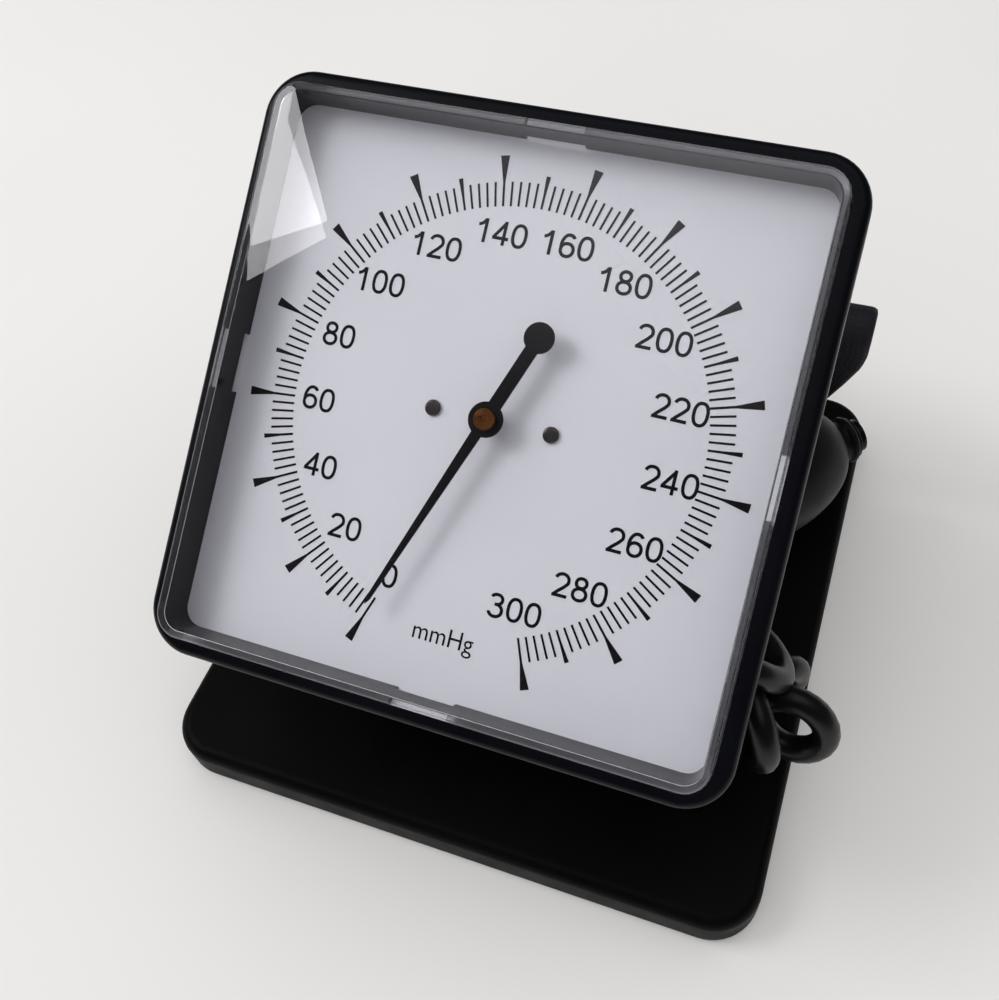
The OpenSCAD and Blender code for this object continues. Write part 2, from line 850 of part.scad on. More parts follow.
// Pipe from the nipple's foot to the capsule's side
module pressure_pipe() {
    run = [stud_x - nipple_x, stud_u - nipple_u];
    pipe_r = 0.8;
    pipe_z = cover_floor_z + 1.75;
    color("#b87333")
        on_head()
            difference() {
                union() {
                    translate([nipple_x, nipple_u, cover_floor_z])
                        cylinder(r = 3.4, h = 3.4);
                    translate([nipple_x, nipple_u, pipe_z])
                        rotate([0, 90, atan2(run[1], run[0])])
                            cylinder(r = pipe_r, h = norm(run) - capsule_d / 2 - fit_gap);
                }
                translate([nipple_x, nipple_u, cover_floor_z - 1])
                    cylinder(r = 1, h = 3);
            }
}

module rocker_shaft() {
    color("#b9bcc0")
        on_head()
            translate([rocker_x, 0, rocker_z])
                union() {
                    translate([0, tail_u - 5, 0])
                        rotate([-90, 0, 0])
                            cylinder(r = rocker_r, h = stud_u - tail_u + 11);
                    // Lever over the capsule's stud
                    translate([-stud_arm - 1.2, stud_u - 1.2, -0.7])
                        cube([stud_arm + 1.2, 2.4, 1.2]);
                    // Finger beside the sector's tail pin
                    translate([-finger_t / 2, tail_u - 1, 0])
                        cube([finger_t, 2, finger_top - rocker_z]);
                }
}

// Involute tooth outlines: the flank at radius r is turned by its involute angle
function involute(base_r, r) =
    let (a = acos(min(1, base_r / r))) tan(a) * 180 / PI - a;

function flank(teeth, r) =
    let (pitch_r = gear_m * teeth / 2, base_r = pitch_r * cos(20),
        half = (90 - backlash / (PI * gear_m) * 180) / teeth)
    half + involute(base_r, pitch_r) - involute(base_r, max(r, base_r));

function tooth_points(teeth, centre) =
    let (pitch_r = gear_m * teeth / 2, tip = pitch_r + 0.9 * gear_m,
        root = pitch_r - 1.2 * gear_m, n = 4)
    concat([[root, centre - 180 / teeth * 0.98]],
        [for (i = [0:n]) let (r = root + (tip - root) * i / n) [r, centre - flank(teeth, r)]],
        [for (i = [0:n]) let (r = tip - (tip - root) * i / n) [r, centre + flank(teeth, r)]]);

function polar(list) = [for (q = list) [q[0] * cos(q[1]), q[0] * sin(q[1])]];

module pinion() {
    color("#c8a24a")
        on_head()
            union() {
                translate([0, 0, sector_z - 0.4])
                    linear_extrude(sector_t + 0.8)
                        polygon(polar([for (k = [0:pinion_teeth - 1])
                            each tooth_points(pinion_teeth, -90 + 360 * (k + 0.5) / pinion_teeth)]));
                translate([0, 0, low_plate_z])
                    cylinder(r = arbor_r, h = pointer_z - low_plate_z);
            }
}

// Toothed arc from just past the meshing tooth at rest to just past it at full scale
module sector_gear() {
    step = 360 / sector_teeth;
    first = -ceil((sector_sweep + 5) / step);
    last = ceil(5 / step);
    arm_from = 90 + first * step;
    arm_to = 90 + last * step;
    rim_r = sector_r - 1.2 * gear_m;
    color("#c8a24a")
        on_head()
            translate([0, sector_u, sector_z])
                difference() {
                    union() {
                        linear_extrude(sector_t)
                            polygon(concat([[0, 0]], polar([for (k = [first:last])
                                each tooth_points(sector_teeth, 90 + k * step)])));
                        cylinder(r = 3.6, h = sector_t);
                        translate([0, 0, low_plate_z - sector_z])
                            cylinder(r = arbor_r, h = dial_back_z - low_plate_z);
                        rotate(tail_start)
                            translate([0, -1.1, 0])
                                cube([tail_r + 1.2, 2.2, sector_t]);
                        rotate(tail_start)
                            translate([tail_r, 0, -1.5])
                                cylinder(r = tail_pin_r, h = 2);
                    }
                    // Window that lightens the sector, between its spokes
                    translate([0, 0, -1])
                        linear_extrude(sector_t + 2)
                            polygon(concat(
                                arc_points(0, 0, rim_r - 3.5, arm_from + 7, arm_to - 7, 12),
                                arc_points(0, 0, 9, arm_to - 15, arm_from + 15, 4)));
                }
}

module hairspring() {
    turns = 4;
    strip = 0.25;
    start_r = arbor_r + 0.6;
    grow = 1.5;
    steps = 24 * turns;
    color("#c9ccd0")
        on_head()
            translate([0, 0, sector_z - 2.2])
                union() {
                    linear_extrude(0.8)
                        polygon(polar(concat(
                            [for (i = [0:steps]) [start_r + grow * i / 24, 15 * i]],
                            [for (i = [0:steps]) let (k = steps - i)
                                [start_r + strip + grow * k / 24, 15 * k]])));
                    translate([start_r + grow * turns + 0.1, 0, low_plate_z + plate_t - sector_z + 2.2])
                        cylinder(r = 0.6, h = sector_z - 1.4 - low_plate_z - plate_t);
                }
}

// ---- Pointer ----

module pointer() {
    color("#0c0c0e")
        on_head()
            rotate(zero_angle)
                translate([0, 0, pointer_z])
                    difference() {
                        union() {
                            linear_extrude(pointer_t)
                                union() {
                                    polygon([[-1.5, 0], [-0.55, pointer_l - 1.5], [0, pointer_l],
                                        [0.55, pointer_l - 1.5], [1.5, 0]]);
                                    translate([-1.8, -tail_l])
                                        square([3.6, tail_l]);
                                    translate([0, -tail_l])
                                        circle(weight_d / 2);
                                    circle(hub_d / 2);
                                }
                            translate([0, 0, -2])
                                cylinder(r = 2.6, h = 2 + eps);
                        }
                        translate([0, 0, -3])
                            cylinder(r = arbor_r + 0.01, h = 3);
                    }
}

module pointer_boss() {
    color("#b5713c")
        on_head()
            translate([0, 0, pointer_z + pointer_t])
                rotate_extrude()
                    polygon([[0, 0], [boss_d / 2, 0], [boss_d / 2, 0.9], [boss_d / 2 - 0.3, 1.3],
                        [1, 1.3], [0.8, 1], [0, 1]]);
}

// ---- Hose ----

module hose_nipple() {
    color("#9a9da2")
        union() {
            on_head()
                translate([nipple_x, nipple_u, nipple_h])
                    union() {
                        sphere(r = elbow_r);
                        cylinder(r = elbow_r, h = case_back_z - nipple_h);
                        translate([0, 0, case_back_z - nipple_h - 1.5])
                            cylinder(r = elbow_r + 1.5, h = 1.5);
                        translate([0, 0, case_back_z - nipple_h - eps])
                            cylinder(r = elbow_r - 1, h = back_t + eps);
                    }
            translate([0, lead_from[1], lead_from[2]])
                bar_x(nipple_x, lead_from[0], elbow_r - 0.6);
            translate([0, lead_from[1], lead_from[2]])
                bar_x(lead_from[0] - 2, lead_from[0], elbow_r + 0.6);
        }
}

module hose_lead() {
    start = [lead_back[0], lead_from[1], lead_from[2]];
    color("#17171a")
        tube(concat([lead_from], half_turn(start, lead_step, [1, 0, 0], 10)),
            [0, 0.66, 0.75], [1, 0, 0], [-1, 0, 0]);
}

module hose_return() {
    far = [upper_start_x, lead_back[1], lead_back[2]];
    mid_x = (lead_back[0] + upper_start_x) / 2;
    color("#17171a")
        tube(concat([lead_back, [mid_x, lead_back[1], lead_back[2]]],
            half_turn(far, return_step, [-1, 0, 0], 10)),
            [0, 0.3, 0.95], [-1, 0, 0], [1, 0, 0]);
}

// Middle line of the coil and its direction, at a distance s along it
function coil_mid(s) =
    s < upper_l ? upper_leg + [upper_start_x + s, 0, 0] :
    s < upper_l + bend_l ?
        let (a = (s - upper_l) / turn_r * 180 / PI)
        turn_mid + turn_r * (sin(a) * [1, 0, 0] - cos(a) * turn_e) :
    lower_leg + [turn_x - (s - upper_l - bend_l), 0, 0];

function coil_dir(s) =
    let (a = min(max((s - upper_l) / turn_r * 180 / PI, 0), 180))
    cos(a) * [1, 0, 0] + sin(a) * turn_e;

coil_l = upper_l + bend_l + lower_l;
ease_from = end_straight + end_ease;

// Curls wound up to s: one over each end's ease, and closest at the inside of the bend
function curls(s) =
    (min(max(s - end_straight, 0), end_ease)) / end_ease
    + (min(max(s - ease_from, 0), upper_l - ease_from)) / curl_pitch
    + (min(max(s - upper_l, 0), bend_l)) / bend_l * bend_curls
    + (min(max(s - upper_l - bend_l, 0), lower_l - ease_from)) / curl_pitch
    + (min(max(s - coil_l + ease_from, 0), end_ease)) / end_ease;

function curl_reach(s) =
    curl_r * min(ease((s - end_straight) / end_ease), ease((coil_l - end_straight - s) / end_ease));

function curl_out(s) =
    let (t = coil_dir(s), n = cross(turn_b, t), a = 360 * curls(s))
    cos(a) * n + sin(a) * turn_b;

function coil_point(s) = coil_mid(s) + curl_reach(s) * curl_out(s);

function stretch(from, to, n) = [for (i = [1:n]) from + (to - from) * i / n];

function coil_stations(per_curl) =
    concat([0], [end_straight],
        stretch(end_straight, ease_from, per_curl),
        stretch(ease_from, upper_l, round(per_curl * (upper_l - ease_from) / curl_pitch)),
        stretch(upper_l, upper_l + bend_l, round(per_curl * bend_curls)),
        stretch(upper_l + bend_l, coil_l - ease_from,
            round(per_curl * (lower_l - ease_from) / curl_pitch)),
        stretch(coil_l - ease_from, coil_l - end_straight, per_curl),
        [coil_l]);

function coil_tangent(s) =
    s <= end_straight ? [1, 0, 0] :
    s >= coil_l - end_straight ? [-1, 0, 0] :
    unit(coil_point(s + 0.1) - coil_point(s - 0.1));

module curly_hose() {
    stations = coil_stations(8);
    color("#17171a")
        skin([for (s = stations) ring_at(coil_point(s), coil_tangent(s), curl_out(s), hose_r, 6)], 6);
}

// Least gap between the coil's turns, measured on points twice as close as its rings
gap_stations = coil_stations(16);
gap_points = [for (s = gap_stations) coil_point(s)];
gap_turns = [for (s = gap_stations) curls(s)];
coil_gap = min([for (i = [0:len(gap_points) - 1], j = [i + 1:min(i + 80, len(gap_points) - 1)])
    if (gap_turns[j] - gap_turns[i] > 0.45) norm(gap_points[i] - gap_points[j])]) - hose_d;
hose_run = [for (i = [1:len(gap_points) - 1]) norm(gap_points[i] - gap_points[i - 1])];
function total(list, i = 0, sum = 0) = i == len(list) ? sum : total(list, i + 1, sum + list[i]);
echo(coil_gap = coil_gap, coil_length = total(hose_run), turns = curls(coil_l));

module hose_tail() {
    color("#17171a")
        tube(spline(tail_route, 2), [0.3, 0.2, 0.9], [-1, 0, 0], [0, 1, 0]);
}

module hose_connector() {
    color("#c6c9cd")
        translate(connector_at)
            rotate([-90, 0, 0])
                union() {
                    cylinder(r = 5.2, h = 12);
                    translate([0, 0, 3])
                        cylinder(r = 6, h = 6);
                    cylinder(r = 3.4, h = connector_l);
                    translate([0, 0, 13])
                        cylinder(r = 4.6, h = connector_l - 13);
                    translate([0, 0, 20])
                        cylinder(r = 5.8, h = 5);
                }
}

module cuff_tube() {
    color("#17171a")
        tube(spline(cuff_tube_route, 2), [1, 0.1, 0.2], [0, 1, 0], [0, 1, 0]);
}

// ---- Cuff ----

// Flattened roll, standing on edge; its right end is cut back below
module cuff() {
    color("#1c2140")
        difference() {
            translate([cuff_left, cuff_y + cuff_t / 2, floor_top + seat_gap + cuff_h / 2])
                rotate([90, 0, 90])
                    linear_extrude(cuff_l)
                        round_rect(cuff_t, cuff_h, cuff_t / 2 - 0.5);
            translate([0, cuff_y - 1, 0])
                rotate([90, 0, 0])
                    mirror([0, 0, 1])
                        linear_extrude(cuff_t + 2)
                            polygon([[cuff_left + cuff_l + 1, floor_top],
                                [cuff_left + cuff_l - 17, floor_top],
                                [cuff_left + cuff_l - 13, floor_top + 28],
                                [cuff_left + cuff_l - 5, floor_top + 46],
                                [cuff_left + cuff_l + 1, floor_top + 54]]);
        }
}

// ---- Bulb and valves ----

module on_bulb() {
    translate(bulb_at)
        rotate([0, 90, bulb_turn])
            children();
}

module bulb() {
    half = bulb_l / 2;
    color("#141416")
        on_bulb()
            difference() {
                union() {
                    rotate_extrude()
                        polygon(concat([for (i = [0:20]) let (a = -90 + 9 * i)
                            [bulb_r * pow(abs(cos(a)), 0.85), half * sin(a)]], [[0, half]]));
                    for (s = [0, 1])
                        mirror([0, 0, s])
                            translate([0, 0, half - 5])
                                rotate_extrude()
                                    polygon([[0, 0], [neck_r + 1.5, 0], [neck_r, 4], [neck_r, 6],
                                        [neck_r + 1, 7], [neck_r + 1, 8], [neck_r, 9],
                                        [neck_r, 5 + neck_l], [0, 5 + neck_l]]);
                }
                for (s = [0, 1])
                    mirror([0, 0, s])
                        translate([0, 0, half - 6])
                            cylinder(r = 4.5, h = 12 + neck_l);
            }
}

module intake_valve() {
    color("#b4b7bc")
        on_bulb()
            translate([0, 0, bulb_l / 2 - 4])
                difference() {
                    union() {
                        cylinder(r = 4.48, h = 4 + neck_l);
                        translate([0, 0, 4 + neck_l])
                            cylinder(r = 5.6, h = 2.4);
                    }
                    translate([0, 0, 3])
                        cylinder(r = 1.2, h = 12);
                }
}

module release_valve() {
    color("#c6c9cd")
        on_bulb()
            mirror([0, 0, 1])
                translate([0, 0, bulb_l / 2 - 4])
                    difference() {
                        union() {
                            cylinder(r = 4.48, h = 4 + neck_l);
                            translate([0, 0, 4 + neck_l])
                                cylinder(r = valve_r, h = valve_l);
                            translate([0, 0, 4 + neck_l + knob_along])
                                rotate([0, -90, 0])
                                    cylinder(r = 4.4, h = valve_r + 3);
                        }
                        translate([0, 0, 4 + neck_l + knob_along])
                            rotate([0, -90, 0])
                                cylinder(r = 2 + fit_gap, h = valve_r + 4);
                    }
}

module valve_knob() {
    color("#c6c9cd")
        translate(bulb_at)
            rotate([0, 0, bulb_turn])
                translate([-(bulb_l / 2 + neck_l + knob_along), 0, 0])
                    union() {
                        translate([0, 0, 1])
                            cylinder(r = 2, h = valve_r + 4);
                        translate([0, 0, valve_r + 3 + seat_gap])
                            knurled_knob();
                    }
}

module knurled_knob() {
    grooves = 18;
    difference() {
        cylinder(r = knob_r, h = knob_l);
        for (i = [0:grooves - 1])
            rotate(360 * i / grooves)
                translate([knob_r + 0.25, 0, -1])
                    cylinder(r = 0.7, h = knob_l + 2, $fn = 16);
        translate([0, 0, knob_l - 0.6])
            cylinder(r = knob_r - 2, h = 1);
    }
}

module bulb_tube() {
    color("#17171a")
        tube(spline(bulb_tube_route, 2), [0.2, 0.1, 0.9],
            unit([-cos(bulb_turn), -sin(bulb_turn), 0]), [0, 1, 0]);
}

base_plate();
base_feet();
ballast_plate();
ballast_screws();
storage_basket();
basket_screws();
hinge_pin();
hinge_nut();
case_front();
case_back();
case_screws();
lens();
dial_plate();
dial_screws();
movement_frame();
movement_screws();
capsule();
capsule_stud();
pressure_pipe();
rocker_shaft();
sector_gear();
pinion();
hairspring();
pointer();
pointer_boss();
hose_nipple();
hose_lead();
hose_return();
curly_hose();
hose_tail();
hose_connector();
cuff_tube();
cuff();
bulb();
intake_valve();
release_valve();
valve_knob();
bulb_tube();
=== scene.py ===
import json
import math

import bmesh
import bpy
from mathutils import Matrix, Vector, noise

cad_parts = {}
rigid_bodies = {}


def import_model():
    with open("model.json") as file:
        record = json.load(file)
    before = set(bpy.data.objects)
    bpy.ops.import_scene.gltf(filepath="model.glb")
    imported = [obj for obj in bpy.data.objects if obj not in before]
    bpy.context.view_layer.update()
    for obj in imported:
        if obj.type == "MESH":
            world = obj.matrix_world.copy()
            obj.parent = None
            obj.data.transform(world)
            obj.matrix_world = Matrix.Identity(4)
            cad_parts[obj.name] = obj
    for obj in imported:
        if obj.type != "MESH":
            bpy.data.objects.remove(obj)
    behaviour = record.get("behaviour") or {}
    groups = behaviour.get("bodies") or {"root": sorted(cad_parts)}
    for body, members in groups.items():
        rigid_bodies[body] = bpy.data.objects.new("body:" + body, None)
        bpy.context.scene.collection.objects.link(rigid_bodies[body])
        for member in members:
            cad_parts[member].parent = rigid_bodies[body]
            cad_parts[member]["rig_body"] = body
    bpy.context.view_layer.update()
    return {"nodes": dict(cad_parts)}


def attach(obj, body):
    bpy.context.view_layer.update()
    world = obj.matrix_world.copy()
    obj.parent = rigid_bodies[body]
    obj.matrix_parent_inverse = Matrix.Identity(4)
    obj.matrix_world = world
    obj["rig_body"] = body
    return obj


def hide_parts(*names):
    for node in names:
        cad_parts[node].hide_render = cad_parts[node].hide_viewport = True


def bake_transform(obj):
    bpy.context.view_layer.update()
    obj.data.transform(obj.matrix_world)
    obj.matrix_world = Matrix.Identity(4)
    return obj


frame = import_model()

# ---------------------------------------------------------------- measures, in millimetres

MM = 0.001
BASE_TOP = 15.0
FLOOR_TOP = BASE_TOP + 2.5
SEAT_GAP = 0.3
PIVOT = Vector((0.0, -69.0, 57.25))
PIVOT_U, PIVOT_H = -72.7, -37.5
TILT = math.radians(35.5)
LENS_W, LENS_R, LENS_T, LENS_D, LENS_DRAFT = 150.0, 7.0, 1.75, 12.0, 1.2
NOTCH_W, NOTCH_H = 16.0, 2.3
HOSE_R = 4.0
CUFF_L, CUFF_H, CUFF_T = 150.0, 70.0, 25.0
CUFF_LEFT, CUFF_Y = -62.0, 64.2
BULB_R, BULB_L, BULB_TURN = 23.0, 76.0, math.radians(42)
NECK_R, NECK_L = 7.0, 5.0

# Head frame: its origin is the middle of the clear cover's front, +Y up the face, +Z out of it
HEAD = (Matrix.Translation(PIVOT * MM) @ Matrix.Rotation(TILT, 4, "X")
        @ Matrix.Translation(Vector((0, -PIVOT_U, -PIVOT_H)) * MM))


def on_head(x, u, h):
    """A point of the head frame, given in millimetres, as metres in the shared frame"""
    return HEAD @ (Vector((x, u, h)) * MM)


# ---------------------------------------------------------------- camera

camera_data = bpy.data.cameras.new("photo_view")
camera = bpy.data.objects.new("photo_view", camera_data)
bpy.context.scene.collection.objects.link(camera)
look_right = Vector((0.942729, 0.327797, -0.061742))
look_down = Vector((0.229448, -0.771624, -0.593253))
look_ahead = Vector((-0.242108, 0.54511, -0.802645))
camera.matrix_world = Matrix.Translation(Vector((81.247, -182.063, 334.76)) * MM) @ Matrix(
    (look_right, -look_down, -look_ahead)).transposed().to_4x4()
camera_data.sensor_width = 36.0
camera_data.lens = 38.83
camera_data.shift_x = -0.03805
camera_data.shift_y = -0.0286
camera_data.clip_start = 0.02
camera_data.dof.use_dof = False
bpy.context.scene.camera = camera

# ---------------------------------------------------------------- materials


def linear(colour):
    """An sRGB hex colour as linear red, green, blue and alpha"""
    parts = [int(colour[i:i + 2], 16) / 255 for i in (1, 3, 5)]
    return [c / 12.92 if c <= 0.04045 else ((c + 0.055) / 1.055) ** 2.4 for c in parts] + [1.0]


def add(owner, kind, settings=None, inputs=None):
    """Adds one node to a material or world, with its settings, and with its inputs
    as values or as other nodes' outputs"""
    node = owner.node_tree.nodes.new("ShaderNode" + kind)
    for key, value in (settings or {}).items():
        setattr(node, key, value)
    for key, value in (inputs or {}).items():
        if isinstance(value, bpy.types.NodeSocket):
            owner.node_tree.links.new(value, node.inputs[key])
        else:
            node.inputs[key].default_value = value
    return node


def new_finish(name, inputs):
    """A material with one shader, and the object coordinates for its patterns"""
    material = bpy.data.materials.new(name)
    material.use_nodes = True
    material.node_tree.nodes.clear()
    shader = add(material, "BsdfPrincipled", None, inputs)
    add(material, "OutputMaterial", None, {"Surface": shader.outputs["BSDF"]})
    place = add(material, "TexCoord").outputs["Object"]
    return material, shader, place


def feed(material, output, shader, socket):
    """Leads one node's output into a socket of the shader"""
    material.node_tree.links.new(output, shader.inputs[socket])


def vary(material, shader, place, socket, size_mm, low, high, detail=3.0):
    """Lets a shader value or colour drift between low and high in patches of one size"""
    cloud = add(material, "TexNoise", None,
                {"Vector": place, "Scale": 1000.0 / size_mm, "Detail": detail})
    if isinstance(low, str):
        ramp = add(material, "ValToRGB", None, {"Fac": cloud.outputs["Fac"]})
        ramp.color_ramp.elements[0].position = 0.3
        ramp.color_ramp.elements[1].position = 0.7
        ramp.color_ramp.elements[0].color = linear(low)
        ramp.color_ramp.elements[1].color = linear(high)
        feed(material, ramp.outputs["Color"], shader, socket)
    else:
        spread = add(material, "MapRange", None,
                     {"Value": cloud.outputs["Fac"], "From Min": 0.3, "From Max": 0.7,
                      "To Min": low, "To Max": high})
        feed(material, spread.outputs["Result"], shader, socket)


def grain(material, shader, place, size_mm, depth_mm):
    """Fine relief of one grain size"""
    cloud = add(material, "TexNoise", None,
                {"Vector": place, "Scale": 1000.0 / size_mm, "Detail": 2.0})
    bump = add(material, "Bump", None, {"Height": cloud.outputs["Fac"], "Strength": 1.0,
                                        "Distance": depth_mm * MM})
    feed(material, bump.outputs["Normal"], shader, "Normal")


# ABS, injection moulded with a satin face: near black with a blue cast, soft broad highlights
abs_satin, shader, place = new_finish(
    "abs_moulded_satin", {"Base Color": linear("#08090f"), "IOR": 1.53,
                          "Specular IOR Level": 0.1})
vary(abs_satin, shader, place, "Roughness", 14.0, 0.3, 0.4)
vary(abs_satin, shader, place, "Base Color", 22.0, "#05060a", "#080910")
grain(abs_satin, shader, place, 0.7, 0.012)

# ABS, spark-eroded mould: the same black, duller, with a grain that breaks up the light
abs_grained, shader, place = new_finish(
    "abs_moulded_grained", {"Base Color": linear("#07070a"), "IOR": 1.53,
                            "Specular IOR Level": 0.06})
vary(abs_grained, shader, place, "Roughness", 11.0, 0.42, 0.54)
vary(abs_grained, shader, place, "Base Color", 30.0, "#040405", "#070709")
grain(abs_grained, shader, place, 0.8, 0.03)

# Cast acrylic, polished: clear, with a hard mirror shine and a trace of moulding waves
acrylic = bpy.data.materials.new("acrylic_polished")
acrylic.use_nodes = True
acrylic.node_tree.nodes.clear()
acrylic_place = add(acrylic, "TexCoord").outputs["Object"]
acrylic_wave = add(acrylic, "TexNoise", None,
                   {"Vector": acrylic_place, "Scale": 28.0, "Detail": 1.0})
acrylic_bump = add(acrylic, "Bump", None, {"Height": acrylic_wave.outputs["Fac"],
                                           "Strength": 1.0, "Distance": 0.02 * MM})
acrylic_glass = add(acrylic, "BsdfPrincipled", None,
                    {"Base Color": linear("#fbfafb"), "Roughness": 0.0, "IOR": 1.49,
                     "Transmission Weight": 1.0, "Normal": acrylic_bump.outputs["Normal"]})
acrylic_clear = add(acrylic, "BsdfTransparent", None, {"Color": linear("#f8f7f8")})
acrylic_mix = add(acrylic, "MixShader", None,
                  {0: add(acrylic, "LightPath").outputs["Is Shadow Ray"],
                   1: acrylic_glass.outputs["BSDF"], 2: acrylic_clear.outputs["BSDF"]})
add(acrylic, "OutputMaterial", None, {"Surface": acrylic_mix.outputs["Shader"]})

# The cover's side walls inside: the same acrylic, dull and finely grained, with a dark colour
# painted in as shade, standing for the dark case seen through them, so that they show as a dark band
# against the black case
painted_dark_wall, shader, place = new_finish(
    "acrylic_wall_painted_shade", {"Base Color": linear("#0b0d13"), "IOR": 1.49,
                              "Transmission Weight": 0.3, "Specular IOR Level": 0.35})
vary(painted_dark_wall, shader, place, "Roughness", 2.0, 0.06, 0.16)
grain(painted_dark_wall, shader, place, 0.8, 0.01)

# Aluminium sheet with a matt white lacquer: cool white, flat, a little uneven
dial_lacquer, shader, place = new_finish(
    "lacquered_dial_sheet", {"Base Color": linear("#f2f5fa"), "Roughness": 0.5, "IOR": 1.45,
                             "Specular IOR Level": 0.2})
vary(dial_lacquer, shader, place, "Base Color", 45.0, "#f0f3f8", "#f4f7fc", 1.0)
grain(dial_lacquer, shader, place, 1.0, 0.002)

# Screen-printing ink: dense black, a touch shinier than the lacquer below
dial_ink, shader, place = new_finish(
    "screen_print_ink", {"Base Color": linear("#060608"), "IOR": 1.5,
                         "Specular IOR Level": 0.12})
vary(dial_ink, shader, place, "Roughness", 3.0, 0.4, 0.5)

# Sprayed aluminium, matt black: the pointer, with a faint orange peel
pointer_paint, shader, place = new_finish(
    "sprayed_matt_black", {"Base Color": linear("#060608"), "IOR": 1.5,
                           "Specular IOR Level": 0.12})
vary(pointer_paint, shader, place, "Roughness", 4.0, 0.42, 0.55)
grain(pointer_paint, shader, place, 0.5, 0.01)

# Turned copper: warm orange with rings left by the lathe
copper, shader, place = new_finish(
    "turned_copper", {"Base Color": linear("#6f4520"), "Metallic": 1.0})
vary(copper, shader, place, "Roughness", 2.0, 0.25, 0.42)
hub_place = add(copper, "Mapping", None, {"Vector": place, "Location": -on_head(0, 0, -6)})
lathe = add(copper, "TexWave", {"wave_type": "RINGS", "rings_direction": "SPHERICAL"},
            {"Vector": hub_place.outputs["Vector"], "Scale": 620.0, "Distortion": 0.6,
             "Detail": 1.0})
lathe_bump = add(copper, "Bump", None, {"Height": lathe.outputs["Fac"], "Strength": 1.0,
                                        "Distance": 0.02 * MM})
feed(copper, lathe_bump.outputs["Normal"], shader, "Normal")

# Chrome plate on brass: bright, nearly a mirror, a little wiped
chrome, shader, place = new_finish(
    "chrome_plate", {"Base Color": linear("#d6d8db"), "Metallic": 1.0})
vary(chrome, shader, place, "Roughness", 3.0, 0.08, 0.2)

# Polished steel under the cover: the dial screws, mirror bright in one spot and dark around it
screw_steel, shader, place = new_finish(
    "polished_screw_steel", {"Base Color": linear("#6d6a66"), "Metallic": 1.0})
vary(screw_steel, shader, place, "Roughness", 1.5, 0.14, 0.26)

# Black nickel plate: the intake valve's collar, a dark metal with soft reflections
nickel, shader, place = new_finish(
    "black_nickel_plate", {"Base Color": linear("#242427"), "Metallic": 1.0})
vary(nickel, shader, place, "Roughness", 3.0, 0.28, 0.4)

# Zinc-plated steel: pale grey metal, dull and slightly mottled
zinc, shader, place = new_finish(
    "zinc_plated_steel", {"Base Color": linear("#a3a6aa"), "Metallic": 1.0})
vary(zinc, shader, place, "Roughness", 2.0, 0.25, 0.42)
vary(zinc, shader, place, "Base Color", 5.0, "#989ba0", "#b0b3b6")
grain(zinc, shader, place, 0.6, 0.006)

# Rolled brass sheet: yellow, with a fine rolling grain
brass, shader, place = new_finish(
    "rolled_brass", {"Base Color": linear("#c9a152"), "Metallic": 1.0})
vary(brass, shader, place, "Roughness", 3.0, 0.22, 0.36)
vary(brass, shader, place, "Base Color", 8.0, "#bf954a", "#d0ab5e")
grain(brass, shader, place, 0.5, 0.005)

# Moulded rubber: the bulb and feet, black with a bloom and a soft sheen
rubber, shader, place = new_finish(
    "moulded_rubber", {"Base Color": linear("#0a0a0c"), "IOR": 1.52, "Specular IOR Level": 0.12,
                       "Sheen Weight": 0.04, "Sheen Roughness": 0.5})
vary(rubber, shader, place, "Roughness", 9.0, 0.36, 0.5)
vary(rubber, shader, place, "Base Color", 12.0, "#070708", "#0e0e10")
grain(rubber, shader, place, 0.9, 0.03)

# Extruded PVC: the hose, black and smooth, shinier than the rubber
pvc, shader, place = new_finish(
    "extruded_pvc", {"Base Color": linear("#080809"), "IOR": 1.54, "Specular IOR Level": 0.3})
vary(pvc, shader, place, "Roughness", 10.0, 0.26, 0.38)
grain(pvc, shader, place, 1.2, 0.01)

# Woven nylon, coated behind: navy, with a plain weave and shallow creases. The threads are drawn
# 0.9 mm apart, coarser than real ones, so that they show
THREAD_STEP, WAVE_UNIT = 0.9, math.pi / 20
nylon, shader, place = new_finish(
    "woven_nylon", {"Roughness": 0.72, "IOR": 1.5, "Sheen Weight": 0.05,
                    "Sheen Roughness": 0.4, "Sheen Tint": linear("#3a4270")})
cloth_uv = add(nylon, "UVMap", {"uv_map": "cloth"}).outputs["UV"]
weave_scale = 1000.0 / THREAD_STEP * WAVE_UNIT
warp = add(nylon, "TexWave", {"bands_direction": "X"},
           {"Vector": cloth_uv, "Scale": weave_scale, "Distortion": 0.4})
weft = add(nylon, "TexWave", {"bands_direction": "Y"},
           {"Vector": cloth_uv, "Scale": weave_scale, "Distortion": 0.4})
weave = add(nylon, "Math", {"operation": "MULTIPLY"},
            {0: warp.outputs["Fac"], 1: weft.outputs["Fac"]})
fade = add(nylon, "TexNoise", None, {"Vector": place, "Scale": 1000.0 / 25.0, "Detail": 4.0})
cloth_dark = add(nylon, "Mix", {"data_type": "RGBA"},
                 {0: weave.outputs[0], 6: linear("#05060f"), 7: linear("#0c0e1f")})
cloth_tone = add(nylon, "Mix", {"data_type": "RGBA"},
                 {0: fade.outputs["Fac"], 6: cloth_dark.outputs[2], 7: linear("#080918")})
feed(nylon, cloth_tone.outputs[2], shader, "Base Color")
weave_bump = add(nylon, "Bump", None, {"Height": weave.outputs[0], "Strength": 1.0,
                                       "Distance": 0.12 * MM})
crease = add(nylon, "TexNoise", None, {"Vector": place, "Scale": 1000.0 / 9.0, "Detail": 3.0})
crease_bump = add(nylon, "Bump", None,
                  {"Height": crease.outputs["Fac"], "Strength": 1.0, "Distance": 0.5 * MM,
                   "Normal": weave_bump.outputs["Normal"]})
feed(nylon, crease_bump.outputs["Normal"], shader, "Normal")

# ---------------------------------------------------------------- making pieces


